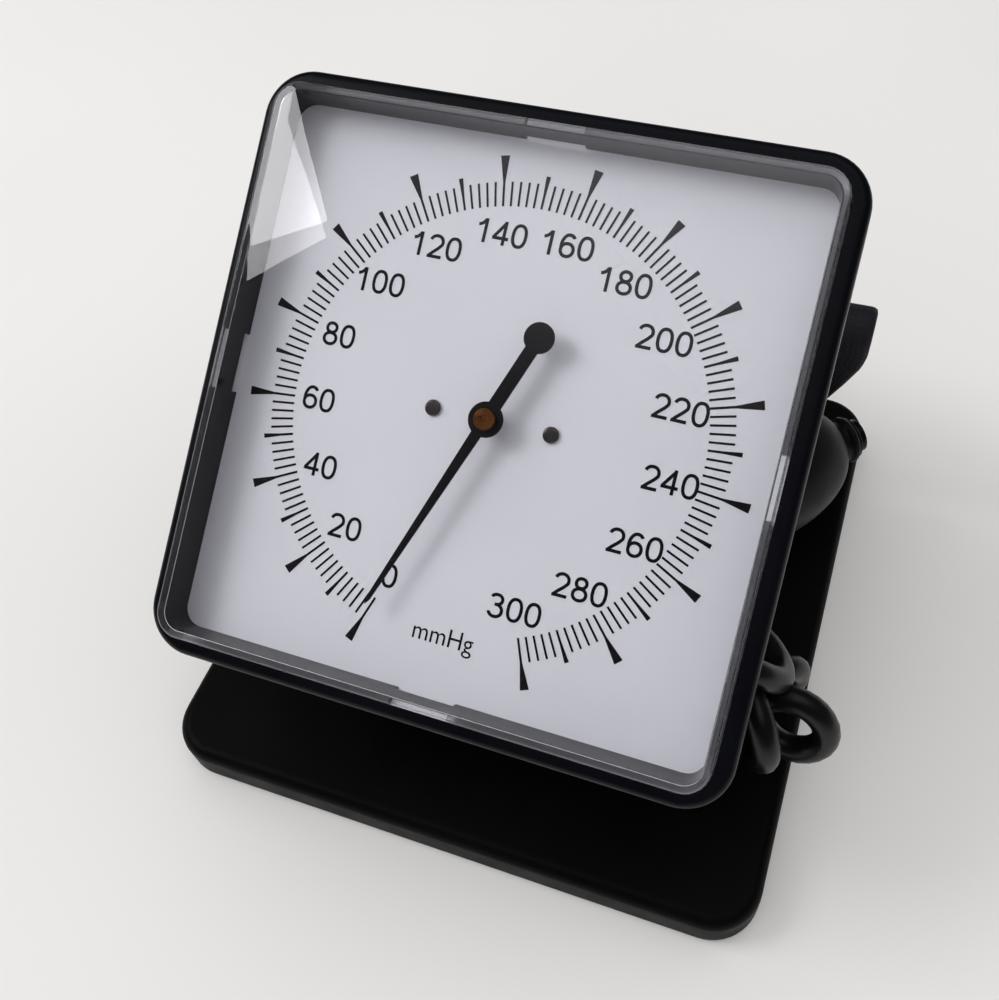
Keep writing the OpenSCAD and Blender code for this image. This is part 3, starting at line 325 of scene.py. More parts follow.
def show(name, bm, body, material, instead_of=(), smooth=40.0):
    """Turns a bmesh into a piece that rides on a body"""
    mesh = bpy.data.meshes.new(name)
    bm.to_mesh(mesh)
    bm.free()
    for face in mesh.polygons:
        face.use_smooth = True
    mesh.set_sharp_from_angle(angle=math.radians(smooth))
    mesh.materials.append(material)
    piece = bpy.data.objects.new(name, mesh)
    bpy.context.scene.collection.objects.link(piece)
    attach(piece, body)
    if instead_of:
        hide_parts(*instead_of)
    return piece


def level_shading(piece):
    """Keeps flat faces flat where they run into small rounded edges"""
    level = piece.modifiers.new("level_shading", "WEIGHTED_NORMAL")
    level.keep_sharp = True


def made_mesh(piece):
    """The mesh of an object with its curve, text or modifiers worked out"""
    bpy.context.view_layer.update()
    return bpy.data.meshes.new_from_object(
        piece.evaluated_get(bpy.context.evaluated_depsgraph_get()))


BODY_OF = {node: piece["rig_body"] for node, piece in frame["nodes"].items()}


def dressed(node, material, edge):
    """A joined copy of a CAD node with its sharp edges broken by edge millimetres"""
    bm = bmesh.new()
    bm.from_mesh(frame["nodes"][node].data)
    bmesh.ops.remove_doubles(bm, verts=bm.verts, dist=2e-6)
    bmesh.ops.dissolve_limit(bm, angle_limit=math.radians(0.6), use_dissolve_boundaries=False,
                             verts=bm.verts, edges=bm.edges)
    sharp = [e for e in bm.edges
             if len(e.link_faces) == 2 and e.calc_face_angle(0.0) > math.radians(35)]
    bmesh.ops.bevel(bm, geom=sharp, offset=edge * MM, offset_type="OFFSET", segments=2,
                    profile=0.5, affect="EDGES", clamp_overlap=True, material=-1)
    level_shading(show(node + "_finished", bm, BODY_OF[node], material, (node,)))


# ---------------------------------------------------------------- cords


def rounded_route(points, steps):
    """Smooth curve through given points"""
    route = []
    last = len(points) - 1
    for i in range(last):
        p0, p1, p2, p3 = (points[max(i - 1, 0)], points[i], points[i + 1],
                          points[min(i + 2, last)])
        for k in range(steps):
            t = k / steps
            route.append(0.5 * (2 * p1 + (p2 - p0) * t + (2 * p0 - 5 * p1 + 4 * p2 - p3) * t * t
                                + (3 * p1 - p0 - 3 * p2 + p3) * t ** 3))
    return route + [points[last]]


def half_turn(start, step, ahead, count):
    """Half circle from start along ahead, ending a step away"""
    radius, across = step.length / 2, step.normalized()
    return [start + step / 2 - radius * math.cos(math.pi * i / count) * across
            + radius * math.sin(math.pi * i / count) * ahead for i in range(count + 1)]


def hose_curve(name, points):
    """A round hose as one open curve"""
    curve = bpy.data.curves.new(name, "CURVE")
    curve.dimensions = "3D"
    line = curve.splines.new("POLY")
    line.points.add(len(points) - 1)
    for spot, point in zip(line.points, points):
        spot.co = (*(point * MM), 1.0)
    line.use_smooth = True
    curve.twist_mode = "MINIMUM"
    curve.bevel_depth = HOSE_R * MM
    curve.bevel_resolution = 6
    curve.use_fill_caps = True
    curve.materials.append(pvc)
    cord = bpy.data.objects.new(name, curve)
    bpy.context.scene.collection.objects.link(cord)
    return cord


def hose_on_base(name, points, lay, *stands_for):
    """A free hose that rides on the base in place of its CAD solids"""
    piece = hose_curve(name, points)
    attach(piece, "base")
    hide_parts(*stands_for)


# The curly hose lies in two legs along X, one above the other, joined by a U-turn at the right
CURL_R, CURL_PITCH = 9.3, 8.7
UPPER = Vector((0, -52.5, 50.0))
LOWER = Vector((0, -29.5, FLOOR_TOP + SEAT_GAP + CURL_R + HOSE_R))
TURN_X, UPPER_START, LOWER_END = 73.0, -64.0, -44.0
EASE, STRAIGHT = 16.0, 8.0
LEG_STEP = LOWER - UPPER
TURN_R, TURN_E = LEG_STEP.length / 2, LEG_STEP.normalized()
TURN_B = Vector((1, 0, 0)).cross(TURN_E)
UPPER_L, BEND_L, LOWER_L = TURN_X - UPPER_START, math.pi * TURN_R, TURN_X - LOWER_END
COIL_L = UPPER_L + BEND_L + LOWER_L
EASE_FROM = STRAIGHT + EASE
BEND_CURLS, BEND_SWELL, BEND_SAG = 3.2, 4.4, Vector((0, -4.5, -0.5))
LEAD_SAG = Vector((0, -4.0, -4.3))
LEAD_FROM = on_head(52.0, -48.0, -40.7) / MM
LEAD_BACK = Vector((70.0, -24.0, 48.5))


def clamp(value, low, high):
    return min(max(value, low), high)


def ease(t):
    """Soft step from 0 to 1"""
    t = clamp(t, 0, 1)
    return t * t * (3 - 2 * t)


def coil_mid(s):
    """Middle line of the curls, at a length s along it"""
    if s < UPPER_L:
        return UPPER + Vector((UPPER_START + s, 0, 0))
    if s < UPPER_L + BEND_L:
        a = (s - UPPER_L) / TURN_R
        swell = math.sin(a) ** 2
        return ((UPPER + LOWER) / 2 + Vector((TURN_X, 0, 0)) + BEND_SAG * swell
                + (TURN_R + BEND_SWELL * swell)
                * (math.sin(a) * Vector((1, 0, 0)) - math.cos(a) * TURN_E))
    return LOWER + Vector((TURN_X - (s - UPPER_L - BEND_L), 0, 0))


def first_curl(share):
    """The end curls open slowly out of the straight, so that the hose never kinks"""
    return 0.35 * share + 0.65 * share * share


def curls(s):
    """Curls that the hose has made up to a length s along the middle line"""
    return (first_curl(clamp(s - STRAIGHT, 0, EASE) / EASE)
            + clamp(s - EASE_FROM, 0, UPPER_L - EASE_FROM) / CURL_PITCH
            + clamp(s - UPPER_L, 0, BEND_L) / BEND_L * BEND_CURLS
            + clamp(s - UPPER_L - BEND_L, 0, LOWER_L - EASE_FROM) / CURL_PITCH
            + 1 - first_curl(1 - clamp(s - COIL_L + EASE_FROM, 0, EASE) / EASE))


def coil_point(s):
    """Point of the hose itself, at a length s along the curls' middle line"""
    turn = clamp((s - UPPER_L) / TURN_R, 0, math.pi)
    ahead = math.cos(turn) * Vector((1, 0, 0)) + math.sin(turn) * TURN_E
    side = TURN_B.cross(ahead)
    reach = CURL_R * min(ease((s - STRAIGHT) / EASE), ease((COIL_L - STRAIGHT - s) / EASE))
    a = 2 * math.pi * curls(s)
    return coil_mid(s) + reach * (math.cos(a) * side + math.sin(a) * TURN_B)


def coil_stations(per_curl):
    """Lengths along the middle line at which the hose gets its points"""
    spans = [(0, STRAIGHT, 3), (STRAIGHT, EASE_FROM, per_curl),
             (EASE_FROM, UPPER_L, round(per_curl * (UPPER_L - EASE_FROM) / CURL_PITCH)),
             (UPPER_L, UPPER_L + BEND_L, round(per_curl * BEND_CURLS)),
             (UPPER_L + BEND_L, COIL_L - EASE_FROM,
              round(per_curl * (LOWER_L - EASE_FROM) / CURL_PITCH)),
             (COIL_L - EASE_FROM, COIL_L - STRAIGHT, per_curl), (COIL_L - STRAIGHT, COIL_L, 3)]
    return [a + (b - a) * i / n for a, b, n in spans for i in range(1, n + 1)]


# The hose in one run: back along the curls' top, into the curls, and out to the connector
far_corner = Vector((UPPER_START, LEAD_BACK.y, LEAD_BACK.z))
upper_start = Vector((UPPER_START, UPPER.y, UPPER.z))
CONNECTOR = Vector((-60.0, CUFF_Y - 72.0, FLOOR_TOP + SEAT_GAP + 6))
tail_start = Vector((LOWER_END, LOWER.y, LOWER.z))
tail_route = [tail_start, Vector((-48.5, -29.4, 31.0)), Vector((-54.3, -27.6, 30.0)),
              Vector((-58.6, -23.2, 27.6)), Vector((-60, -17.5, 25.0)),
              CONNECTOR - Vector((0, 5, 0)), CONNECTOR]
hose_points = ([LEAD_BACK.lerp(far_corner, i / 8) for i in range(8)]
               + half_turn(far_corner, upper_start - far_corner, Vector((-1, 0, 0)), 18)
               + [coil_point(s) for s in coil_stations(24)]
               + rounded_route(tail_route, 5)[1:])
hose_on_base("curly_hose_run", hose_points, "coiled", "hose_return", "curly_hose", "hose_tail")

# The plain lead from the gauge's nipple: a short straight, then a sagging half turn back to the
# curls
lead_start = Vector((LEAD_BACK.x, LEAD_FROM.y, LEAD_FROM.z))
LEAD_STEPS = 22
lead_turn = half_turn(lead_start, LEAD_BACK - lead_start, Vector((1, 0, 0)), LEAD_STEPS)
lead_points = ([LEAD_FROM.lerp(lead_start, i / 4) for i in range(4)]
               + [p + LEAD_SAG * math.sin(math.pi * i / LEAD_STEPS) ** 2
                  for i, p in enumerate(lead_turn)])
lead_curve = hose_curve("lead_line", lead_points)
lead_mesh = made_mesh(lead_curve)
bpy.data.objects.remove(lead_curve)
lead = bpy.data.objects.new("hose_lead_bend", lead_mesh)
bpy.context.scene.collection.objects.link(lead)
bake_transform(lead)
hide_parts("hose_lead")

# Tube from the bulb's valve into the roll, and from the connector into the roll
BULB = Vector((58.5, CUFF_Y - math.hypot(BULB_L / 2 * math.sin(BULB_TURN),
                                        BULB_R * math.cos(BULB_TURN)) - 0.6,
               FLOOR_TOP + SEAT_GAP + BULB_R))
BULB_DIR = Vector((math.cos(BULB_TURN), math.sin(BULB_TURN), 0))
valve_end = BULB - (BULB_L / 2 + NECK_L + 20 + 0.05) * BULB_DIR
bulb_tube_points = rounded_route(
    [valve_end, valve_end - 8 * BULB_DIR] + [Vector(p) for p in (
        (-1, -15, 42.5), (-12, -14, 41.5), (-23, -8, 42), (-31, 2, 43), (-35, 14, 45),
        (-36, CUFF_Y - 36, 48), (-36, CUFF_Y - 20, 51), (-36, CUFF_Y - 8, 52),
        (-36, CUFF_Y, 52), (-36, CUFF_Y + 3.5, 52))], 5)
hose_on_base("bulb_tube_run", bulb_tube_points, "loose", "bulb_tube")

connector_end = CONNECTOR + Vector((0, 34, 0))
cuff_tube_points = rounded_route(
    [connector_end, connector_end + Vector((0, 8, 0))] + [Vector(p) for p in (
        (-59, CUFF_Y - 23, 27), (-56, CUFF_Y - 17, 33), (-52, CUFF_Y - 12, 38),
        (-50, CUFF_Y - 8, 40), (-50, CUFF_Y, 40), (-50, CUFF_Y + 3.5, 40))], 6)
hose_on_base("cuff_tube_run", cuff_tube_points, "loose", "cuff_tube")

# ---------------------------------------------------------------- rigid pieces with broken edges

for node, material, slot, edge in (
        ("base_plate", abs_grained, "black_plastic", 0.3),
        ("storage_basket", abs_grained, "black_plastic", 0.3),
        ("case_front", abs_satin, "black_plastic", 0.3),
        ("case_back", abs_satin, "black_plastic", 0.3),
        ("base_feet", rubber, "black_rubber", 0.3),
        ("ballast_plate", zinc, "steel", 0.3),
        ("ballast_screws", zinc, "steel", 0.08),
        ("basket_screws", zinc, "steel", 0.08),
        ("case_screws", zinc, "steel", 0.08),
        ("movement_screws", zinc, "steel", 0.06),
        ("hinge_pin", zinc, "steel", 0.3),
        ("hinge_nut", zinc, "steel", 0.2),
        ("hose_nipple", chrome, "chrome", 0.25),
        ("hose_connector", chrome, "chrome", 0.3),
        ("intake_valve", nickel, "chrome", 0.2),
        ("release_valve", chrome, "chrome", 0.3),
        ("valve_knob", chrome, "chrome", 0.12),
        ("dial_screws", screw_steel, "chrome", 0.08),
        ("pointer", pointer_paint, "pointer_black", 0.1),
        ("pointer_boss", copper, "brass", 0.08)):
    dressed(node, material, edge)

for node, material in (
        ("dial_plate", dial_lacquer), ("movement_frame", brass), ("capsule", zinc),
        ("capsule_stud", brass), ("pressure_pipe", copper), ("rocker_shaft", zinc),
        ("sector_gear", brass), ("pinion", brass), ("hairspring", zinc)):
    for holder in frame["nodes"][node].material_slots:
        holder.material = material

# ---------------------------------------------------------------- clear cover


def at_height(bm, height, kind):
    """The edges or faces that lie wholly at one height, in millimetres"""
    return [part for part in getattr(bm, kind)
            if all(abs(v.co.z - height * MM) < 1e-6 for v in part.verts)]


def spread(verts, factor):
    """Widens or narrows part of the cover about its middle"""
    bmesh.ops.scale(cover, vec=(factor, factor, 1.0), verts=verts)


def rounded_rim(height, edge):
    """Rounds the cover's edges at one height, where they meet its side walls"""
    rim = [e for e in at_height(cover, height, "edges")
           if any(abs(f.normal.z) < 0.5 for f in e.link_faces)]
    bmesh.ops.bevel(cover, geom=rim, offset=edge * MM, offset_type="OFFSET", segments=6,
                    profile=0.5, affect="EDGES", clamp_overlap=False, material=-1)


# A block, tapered and with rounded corners, is hollowed from behind; its inside walls get painted
# dark shade
cover = bmesh.new()
bmesh.ops.create_cube(cover, size=1.0)
bmesh.ops.translate(cover, vec=(0, 0, -0.5), verts=cover.verts)
bmesh.ops.scale(cover, vec=Vector((LENS_W, LENS_W, LENS_D)) * MM, verts=cover.verts)
taper = (LENS_W - LENS_DRAFT) / LENS_W
spread([v for v in cover.verts if v.co.z < -MM], taper)
upright = [e for e in cover.edges if abs(e.verts[0].co.z - e.verts[1].co.z) > MM]
bmesh.ops.bevel(cover, geom=upright, offset=LENS_R * MM, offset_type="OFFSET", segments=14,
                profile=0.5, affect="EDGES", clamp_overlap=False, material=-1)
back = at_height(cover, -LENS_D, "faces")
bmesh.ops.inset_region(cover, faces=back, thickness=LENS_T * MM, use_even_offset=True)
back = [f for f in at_height(cover, -LENS_D, "faces") if f.calc_area() > 0.01]
hollow = bmesh.ops.extrude_face_region(cover, geom=back)["geom"]
bmesh.ops.delete(cover, geom=back, context="FACES_ONLY")
roof = [part for part in hollow if isinstance(part, bmesh.types.BMVert)]
bmesh.ops.translate(cover, vec=(0, 0, (LENS_D - LENS_T) * MM), verts=roof)
spread(roof, 1 / taper)
bmesh.ops.recalc_face_normals(cover, faces=cover.faces)
cover.normal_update()
# The inside walls take the second material, the acrylic with painted dark shade
for f in cover.faces:
    middle = f.calc_center_median()
    if abs(f.normal.z) < 0.3 and f.normal.xy.dot(middle.xy) < 0:
        f.material_index = 1
rounded_rim(0.0, 1.1)
rounded_rim(-LENS_T, 0.6)
bmesh.ops.recalc_face_normals(cover, faces=cover.faces)
cover.transform(HEAD)
lens = show("clear_cover", cover, "head", acrylic, ("lens",))
# Second material: the inside walls' acrylic, darkened with painted shade
lens.data.materials.append(painted_dark_wall)

# A snap notch is cut into the middle of each side wall
notches = bmesh.new()
for quarter in range(4):
    block = bmesh.ops.create_cube(notches, size=1.0)["verts"]
    bmesh.ops.scale(notches, vec=Vector((NOTCH_W, 8.0, 2 * NOTCH_H)) * MM, verts=block)
    bmesh.ops.translate(notches, vec=Vector((0, LENS_W / 2 - LENS_T, -LENS_D)) * MM, verts=block)
    bmesh.ops.rotate(notches, cent=(0, 0, 0), matrix=Matrix.Rotation(quarter * math.pi / 2, 3, "Z"),
                     verts=block)
notches.transform(HEAD)
notch_mesh = bpy.data.meshes.new("notch_cutter")
notches.to_mesh(notch_mesh)
notches.free()
notch_cutter = bpy.data.objects.new("notch_cutter", notch_mesh)
bpy.context.scene.collection.objects.link(notch_cutter)
cut = lens.modifiers.new("snap_notches", "BOOLEAN")
cut.operation = "DIFFERENCE"
cut.solver = "EXACT"
cut.object = notch_cutter
lens_mesh = made_mesh(lens)
lens.modifiers.clear()
lens.data = lens_mesh
bpy.data.objects.remove(notch_cutter)

# Large flat faces are shaded flat, so that the rounded rims don't bend their reflections
LARGE_FACE = 1e-4
for face in lens_mesh.polygons:
    face.use_smooth = face.area < LARGE_FACE
lens_mesh.set_sharp_from_angle(angle=math.radians(40))

# ---------------------------------------------------------------- dial print

# The print lies 0.05 mm above the dial sheet; the scale's radii and angles are read off the photo
PRINT_H = -LENS_D + 0.05
TICK_IN, TICK_OUT, MID_OUT, LONG_OUT, FLARE_FROM = 55.6, 62.0, 64.1, 68.8, 61.9
NUMBER_R, CAP_HEIGHT, NARROWED = 48.6, 6.3, 0.93
ZERO = -159.0
PER_UNIT = 318.0 / 300.0

print_bm = bmesh.new()


def tick(angle, sections):
    """A flat mark along a radius, from (radius, width) sections"""
    bars = bmesh.ops.create_grid(print_bm, x_segments=1, y_segments=len(sections) - 1, size=0.5)
    rows = sorted(bars["verts"], key=lambda v: (round(v.co.y, 5), v.co.x))
    for i, v in enumerate(rows):
        radius, width = sections[i // 2]
        v.co = Vector(((-0.5 if i % 2 == 0 else 0.5) * width, radius, 0))
    turn = Matrix.Rotation(math.radians(-angle), 4, "Z")
    bmesh.ops.transform(print_bm, matrix=turn, verts=bars["verts"])


for value in range(0, 301, 2):
    angle = ZERO + PER_UNIT * value
    if value % 20 == 0:
        tick(angle, [(TICK_IN, 0.6), (FLARE_FROM, 0.62), (LONG_OUT, 2.4)])
    elif value % 10 == 0:
        tick(angle, [(TICK_IN, 0.6), (59.0, 0.62), (MID_OUT, 1.2)])
    else:
        tick(angle, [(TICK_IN, 0.58), (TICK_OUT, 0.58)])
bmesh.ops.scale(print_bm, vec=(MM, MM, MM), verts=print_bm.verts)
bmesh.ops.recalc_face_normals(print_bm, faces=print_bm.faces)
print_bm.transform(HEAD @ Matrix.Translation((0, 0, PRINT_H * MM)))
show("dial_scale_print", print_bm, "head", dial_ink)


def printed(name, words, x, u, height):
    """Upright lettering as a flat mesh on the dial, centred on a point"""
    letters = bpy.data.curves.new(name + "_letters", "FONT")
    letters.body = words
    letters.resolution_u = 5
    holder = bpy.data.objects.new(name + "_letters", letters)
    bpy.context.scene.collection.objects.link(holder)
    mesh = made_mesh(holder)
    bpy.data.objects.remove(holder)
    xs = [v.co.x for v in mesh.vertices]
    ys = [v.co.y for v in mesh.vertices]
    middle = Vector(((min(xs) + max(xs)) / 2, (min(ys) + max(ys)) / 2, 0))
    tall = max(ys) - min(ys)
    mesh.transform(Matrix.Diagonal((height / tall * NARROWED, height / tall, 1, 1))
                   @ Matrix.Translation(-middle))
    mesh.transform(HEAD @ Matrix.Translation(Vector((x, u, PRINT_H)) * MM)
                   @ Matrix.Scale(MM, 4))
    bm = bmesh.new()
    bm.from_mesh(mesh)
    show(name, bm, "head", dial_ink)


def arc(cx, cy, rx, ry, start, end, power=2.0):
    """Points of a rounded bow, from one angle in degrees to another"""
    count = max(6, round(abs(end - start) / 7))
    turns = [math.radians(start + (end - start) * i / count) for i in range(count + 1)]
    return [(cx + rx * math.copysign(abs(math.cos(a)) ** (2 / power), math.cos(a)),
             cy + ry * math.copysign(abs(math.sin(a)) ** (2 / power), math.sin(a)))
            for a in turns]


# Each numeral as strokes of its middle lines, for a cap height of 1
STROKE = 0.138
NUMERALS = {
    "0": [arc(0.39, 0.5, 0.27, 0.44, 0, 360, 2.35)],
    "1": [[(0.46, 0.0), (0.46, 1.0)], [(0.455, 0.93)] + arc(0.1, 1.12, 0.36, 0.4, -28, -84)],
    "2": [arc(0.38, 0.68, 0.27, 0.26, 165, -20, 2.1) + [(0.5, 0.43), (0.27, 0.22), (0.13, 0.07)],
          [(0.06, 0.0625), (0.69, 0.0625)]],
    "3": [arc(0.36, 0.74, 0.24, 0.2, 160, -80, 2.1), [(0.3, 0.54), (0.4, 0.54)],
          arc(0.37, 0.29, 0.28, 0.25, 85, -165, 2.1)],
    "4": [[(0.52, 0.93), (0.08, 0.295)], [(0.03, 0.285), (0.72, 0.285)], [(0.52, 0.0), (0.52, 1.0)]],
    "6": [arc(0.4, 0.32, 0.265, 0.26, 0, 360, 2.1),
          [(0.14, 0.36)] + arc(0.42, 0.46, 0.29, 0.48, 175, 85, 2.1)
          + arc(0.42, 0.76, 0.22, 0.18, 80, 15)],
    "8": [arc(0.39, 0.745, 0.215, 0.195, 0, 360, 2.1), arc(0.39, 0.29, 0.27, 0.235, 0, 360, 2.1)],
}
NUMERAL_STEP = 0.78


def numerals(name, words, x, u, height):
    """Upright plain numerals, each stroke a flat ribbon laid along its middle line"""
    width_line = bpy.data.curves.new("stroke_width", "CURVE")
    width_line.dimensions = "3D"
    edge = width_line.splines.new("POLY")
    edge.points.add(1)
    for spot, side in zip(edge.points, (-0.5, 0.5)):
        spot.co = (side * STROKE, 0, 0, 1)
    width_holder = bpy.data.objects.new("stroke_width", width_line)
    bpy.context.scene.collection.objects.link(width_holder)
    lines = bpy.data.curves.new(name + "_strokes", "CURVE")
    lines.dimensions = "3D"
    lines.twist_mode = "Z_UP"
    lines.bevel_mode = "OBJECT"
    lines.bevel_object = width_holder
    start = -(len(words) - 1) / 2 * NUMERAL_STEP - 0.39
    for i, digit in enumerate(words):
        for stroke in NUMERALS[digit]:
            ring = math.dist(stroke[0], stroke[-1]) < 1e-6
            spots = stroke[:-1] if ring else stroke
            line = lines.splines.new("POLY")
            line.points.add(len(spots) - 1)
            line.use_cyclic_u = ring
            for spot, (sx, sy) in zip(line.points, spots):
                spot.co = (start + i * NUMERAL_STEP + sx, sy - 0.5, 0, 1)
    holder = bpy.data.objects.new(name + "_strokes", lines)
    bpy.context.scene.collection.objects.link(holder)
    mesh = made_mesh(holder)
    bpy.data.objects.remove(holder)
    bpy.data.objects.remove(width_holder)
    mesh.transform(HEAD @ Matrix.Translation(Vector((x, u, PRINT_H)) * MM)
                   @ Matrix.Scale(height * MM, 4))
    bm = bmesh.new()
    bm.from_mesh(mesh)
    show(name, bm, "head", dial_ink)


for value in range(0, 301, 20):
    angle = math.radians(ZERO + PER_UNIT * value)
    numerals("dial_number_%d" % value, str(value), NUMBER_R * math.sin(angle),
             NUMBER_R * math.cos(angle), CAP_HEIGHT)
printed("dial_unit", "mmHg", 0.6, -57.6, 6.2)

# ---------------------------------------------------------------- bulb


def turned(profile, steps=96):
    """A closed shape turned about Z from (radius, height) points that end on the axis"""
    bm = bmesh.new()
    points = [bm.verts.new((r * MM, 0, z * MM)) for r, z in profile]
    line = [bm.edges.new(pair) for pair in zip(points, points[1:])]
    bmesh.ops.spin(bm, geom=points + line, cent=(0, 0, 0), axis=(0, 0, 1), angle=2 * math.pi,
                   steps=steps, use_merge=True)
    bmesh.ops.remove_doubles(bm, verts=bm.verts, dist=1e-6)
    bmesh.ops.recalc_face_normals(bm, faces=bm.faces)
    return bm


# Both ends have a neck with a rounded bead; the body is a slightly fuller curve than an ellipse
half = BULB_L / 2
end_profile = [(NECK_R + 1.9, half - 4.2), (NECK_R + 1.0, half - 2.6), (NECK_R + 0.2, half - 1.2),
               (NECK_R - 0.1, half + 0.2), (NECK_R, half + 1.0), (NECK_R + 0.6, half + 1.4),
               (NECK_R + 1.0, half + 2.0), (NECK_R + 1.0, half + 2.8), (NECK_R + 0.6, half + 3.4),
               (NECK_R, half + 3.8), (NECK_R, half + 4.6), (NECK_R - 0.5, half + NECK_L),
               (4.6, half + NECK_L), (4.6, half - 3)]
body_profile = []
for i in range(4, 61):
    a = math.radians(-90 + 180 * i / 64)
    body_profile.append((BULB_R * abs(math.cos(a)) ** 0.85, half * math.sin(a)))
body_profile = [p for p in body_profile if p[0] > NECK_R + 2.2]
bulb_profile = [(r, -z) for r, z in reversed(end_profile)] + body_profile + end_profile
bulb_bm = turned([(0, -half + 3)] + bulb_profile + [(0, half - 3)])
bulb_bm.transform(Matrix.Translation(BULB * MM) @ Matrix.Rotation(BULB_TURN, 4, "Z")
                  @ Matrix.Rotation(math.pi / 2, 4, "Y"))
show("squeeze_bulb", bulb_bm, "base", rubber, ("bulb",), 50.0)

# ---------------------------------------------------------------- cuff

# The cuff is one long padded strip, wound flat round itself about two and a half times
STRIP_T = 4.3
WINDS = 2.45
SIDE_SHARE, BOW_SHARE, FIRST_TURN = 0.36, 0.14, 0.78

# How far the roll's right edge is cut back at each height, in (height, cut) pairs
CUT_BACK = ((0.0, 17.0), (28.0, 10.0), (40.0, 4.5), (49.0, 0.8), (54.0, 0.0), (80.0, 0.0))
cuff_mid = Vector((0, CUFF_Y + CUFF_T / 2, FLOOR_TOP + SEAT_GAP + CUFF_H / 2))


def wound(share):
    """Point of the flat spiral's middle line, in y and z from the roll's middle"""
    winds = WINDS * share
    wide = CUFF_T / 2 - STRIP_T / 2 - 0.5 - STRIP_T * winds
    tall = CUFF_H / 2 - STRIP_T / 2 - 0.8 - STRIP_T * winds
    wide = max(wide, 1.0)
    u = (winds + FIRST_TURN) % 1.0
    side = tall - wide
    if u < SIDE_SHARE:
        return Vector((wide, -side + 2 * side * u / SIDE_SHARE))
    if u < 0.5:
        a = math.pi * (u - SIDE_SHARE) / BOW_SHARE
        return Vector((wide * math.cos(a), side + wide * math.sin(a)))
    if u < 0.5 + SIDE_SHARE:
        return Vector((-wide, side - 2 * side * (u - 0.5) / SIDE_SHARE))
    a = math.pi + math.pi * (u - 0.5 - SIDE_SHARE) / BOW_SHARE
    return Vector((wide * math.cos(a), -side + wide * math.sin(a)))


def cut_at(height):
    """The cut at one height, between the pairs"""
    for (z0, c0), (z1, c1) in zip(CUT_BACK, CUT_BACK[1:]):
        if height <= z1:
            return c0 + (c1 - c0) * clamp((height - z0) / (z1 - z0), 0, 1)
    return 0.0


LONG_STEPS, WIDE_STEPS = 260, 48
cloth_line = [wound(i / LONG_STEPS) for i in range(LONG_STEPS + 1)]
cloth_run = [0.0]
for a, b in zip(cloth_line, cloth_line[1:]):
    cloth_run.append(cloth_run[-1] + (b - a).length)
cuff_bm = bmesh.new()
bmesh.ops.create_grid(cuff_bm, x_segments=LONG_STEPS, y_segments=WIDE_STEPS, size=0.5)
uv_layer = cuff_bm.loops.layers.uv.new("cloth")
for face in cuff_bm.faces:
    for loop in face.loops:
        along = cloth_run[round((loop.vert.co.x + 0.5) * LONG_STEPS)]
        loop[uv_layer].uv = (along * MM, (loop.vert.co.y + 0.5) * (CUFF_L - 1.5) * MM)
for v in cuff_bm.verts:
    row = round((v.co.x + 0.5) * LONG_STEPS)
    across = v.co.y + 0.5
    spot = cloth_line[row]
    height = spot.y + CUFF_H / 2
    x = CUFF_LEFT + 0.8 + across * (CUFF_L + 0.2)
    x -= cut_at(height) * ease((across - 0.35) / 0.65)
    before, after = cloth_line[max(row - 1, 0)], cloth_line[min(row + 1, LONG_STEPS)]
    out = Vector((after.y - before.y, -(after.x - before.x))).normalized()
    ripple = noise.noise(Vector((x / 26, spot.x / 14, spot.y / 22 + row / 90)))
    fine = noise.noise(Vector((x / 9, spot.x / 8, spot.y / 11 + row / 40)))
    puff = 0.55 * ripple + 0.22 * fine - 0.25
    puff *= 0.35 + 0.65 * math.sin(math.pi * clamp(across, 0.02, 0.98)) ** 0.4
    v.co = Vector((x, cuff_mid.y + spot.x + out.x * puff, cuff_mid.z + spot.y + out.y * puff)) * MM
bmesh.ops.recalc_face_normals(cuff_bm, faces=cuff_bm.faces)
cuff = show("cuff_roll", cuff_bm, "base", nylon, ("cuff",), 80.0)
wall = cuff.modifiers.new("padding", "SOLIDIFY")
wall.thickness = 3.7 * MM
wall.offset = 0.0
wall.use_even_offset = True
soften = cuff.modifiers.new("soft_edges", "SUBSURF")
soften.levels = soften.render_levels = 1

# ---------------------------------------------------------------- floor and light

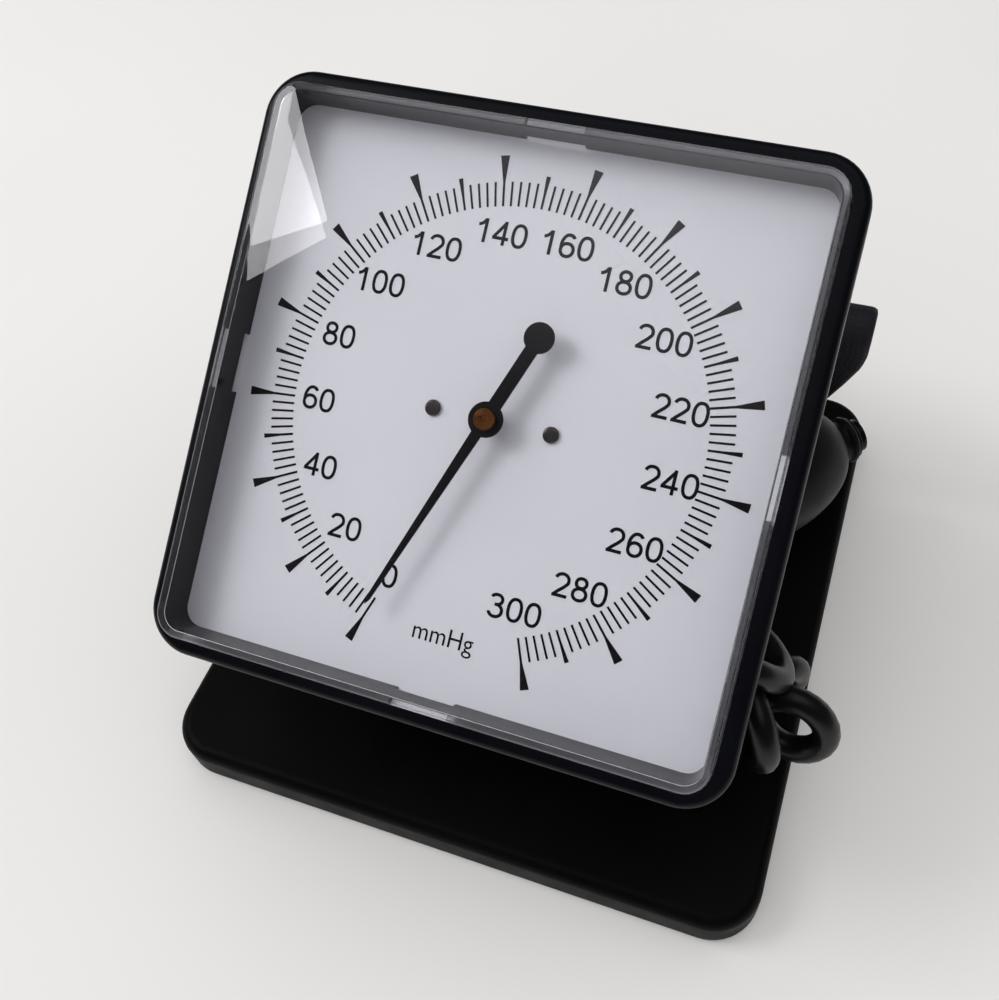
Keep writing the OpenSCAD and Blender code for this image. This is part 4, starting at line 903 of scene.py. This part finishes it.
# Matt backdrop paper: pale, a touch warm, with no sheen
floor_finish, shader, place = new_finish(
    "paper_backdrop", {"Base Color": linear("#dddcd8"), "Roughness": 0.8,
                       "Specular IOR Level": 0.2})
vary(floor_finish, shader, place, "Base Color", 260.0, "#dbdad6", "#dfdeda", 1.0)
floor_bm = bmesh.new()
bmesh.ops.create_grid(floor_bm, x_segments=1, y_segments=1, size=3.0)
floor_mesh = bpy.data.meshes.new("floor")
floor_bm.to_mesh(floor_mesh)
floor_bm.free()
floor_mesh.materials.append(floor_finish)
floor = bpy.data.objects.new("floor", floor_mesh)
bpy.context.scene.collection.objects.link(floor)


def soft_lamp(name, place, towards, width, height, power, colour):
    """A rectangular studio lamp, sizes in metres and power in watts"""
    data = bpy.data.lights.new(name, "AREA")
    data.shape = "RECTANGLE"
    data.size, data.size_y = width, height
    data.energy = power
    data.color = linear(colour)[:3]
    lamp = bpy.data.objects.new(name, data)
    lamp.location = place
    lamp.rotation_euler = (Vector(place) - Vector(towards)).to_track_quat("Z", "Y").to_euler()
    bpy.context.scene.collection.objects.link(lamp)


soft_lamp("window_left", (-1.5, -0.35, 1.6), (0, 0, 0.08), 0.8, 0.8, 14.5, "#fdfcff")

world = bpy.data.worlds.new("studio")
world.use_nodes = True
world.node_tree.nodes.clear()
rays = add(world, "LightPath").outputs
compass = add(world, "TexCoord").outputs["Generated"]
upward = add(world, "SeparateXYZ", None, {0: compass}).outputs["Z"]

# The object is lit by a dome that is brightest overhead
dome = add(world, "MapRange", {"interpolation_type": "SMOOTHSTEP"},
           {"Value": upward, "From Min": 0.3, "From Max": 0.95, "To Min": 0.37, "To Max": 1.42})
glow = add(world, "Background", None,
           {"Color": linear("#fbfafc"), "Strength": dome.outputs["Result"]})

# Shiny surfaces mirror a darker room, so that black pieces under the cover stay black
room = add(world, "MapRange", {"interpolation_type": "SMOOTHSTEP"},
           {"Value": upward, "From Min": 0.8, "From Max": 1.0, "To Min": 0.05, "To Max": 0.9})
mirror = add(world, "Background", None,
             {"Color": linear("#f4f5fa"), "Strength": room.outputs["Result"]})
gloss = add(world, "MixShader", None,
            {0: rays["Is Glossy Ray"], 1: glow.outputs[0], 2: mirror.outputs[0]})

# The camera sees a plain pale backdrop
sky = add(world, "Background", None, {"Color": linear("#ffffff"), "Strength": 0.9})
pick = add(world, "MixShader", None,
           {0: rays["Is Camera Ray"], 1: gloss.outputs[0], 2: sky.outputs[0]})
add(world, "OutputWorld", None, {0: pick.outputs[0]})
bpy.context.scene.world = world
bpy.context.scene.view_settings.view_transform = "Standard"
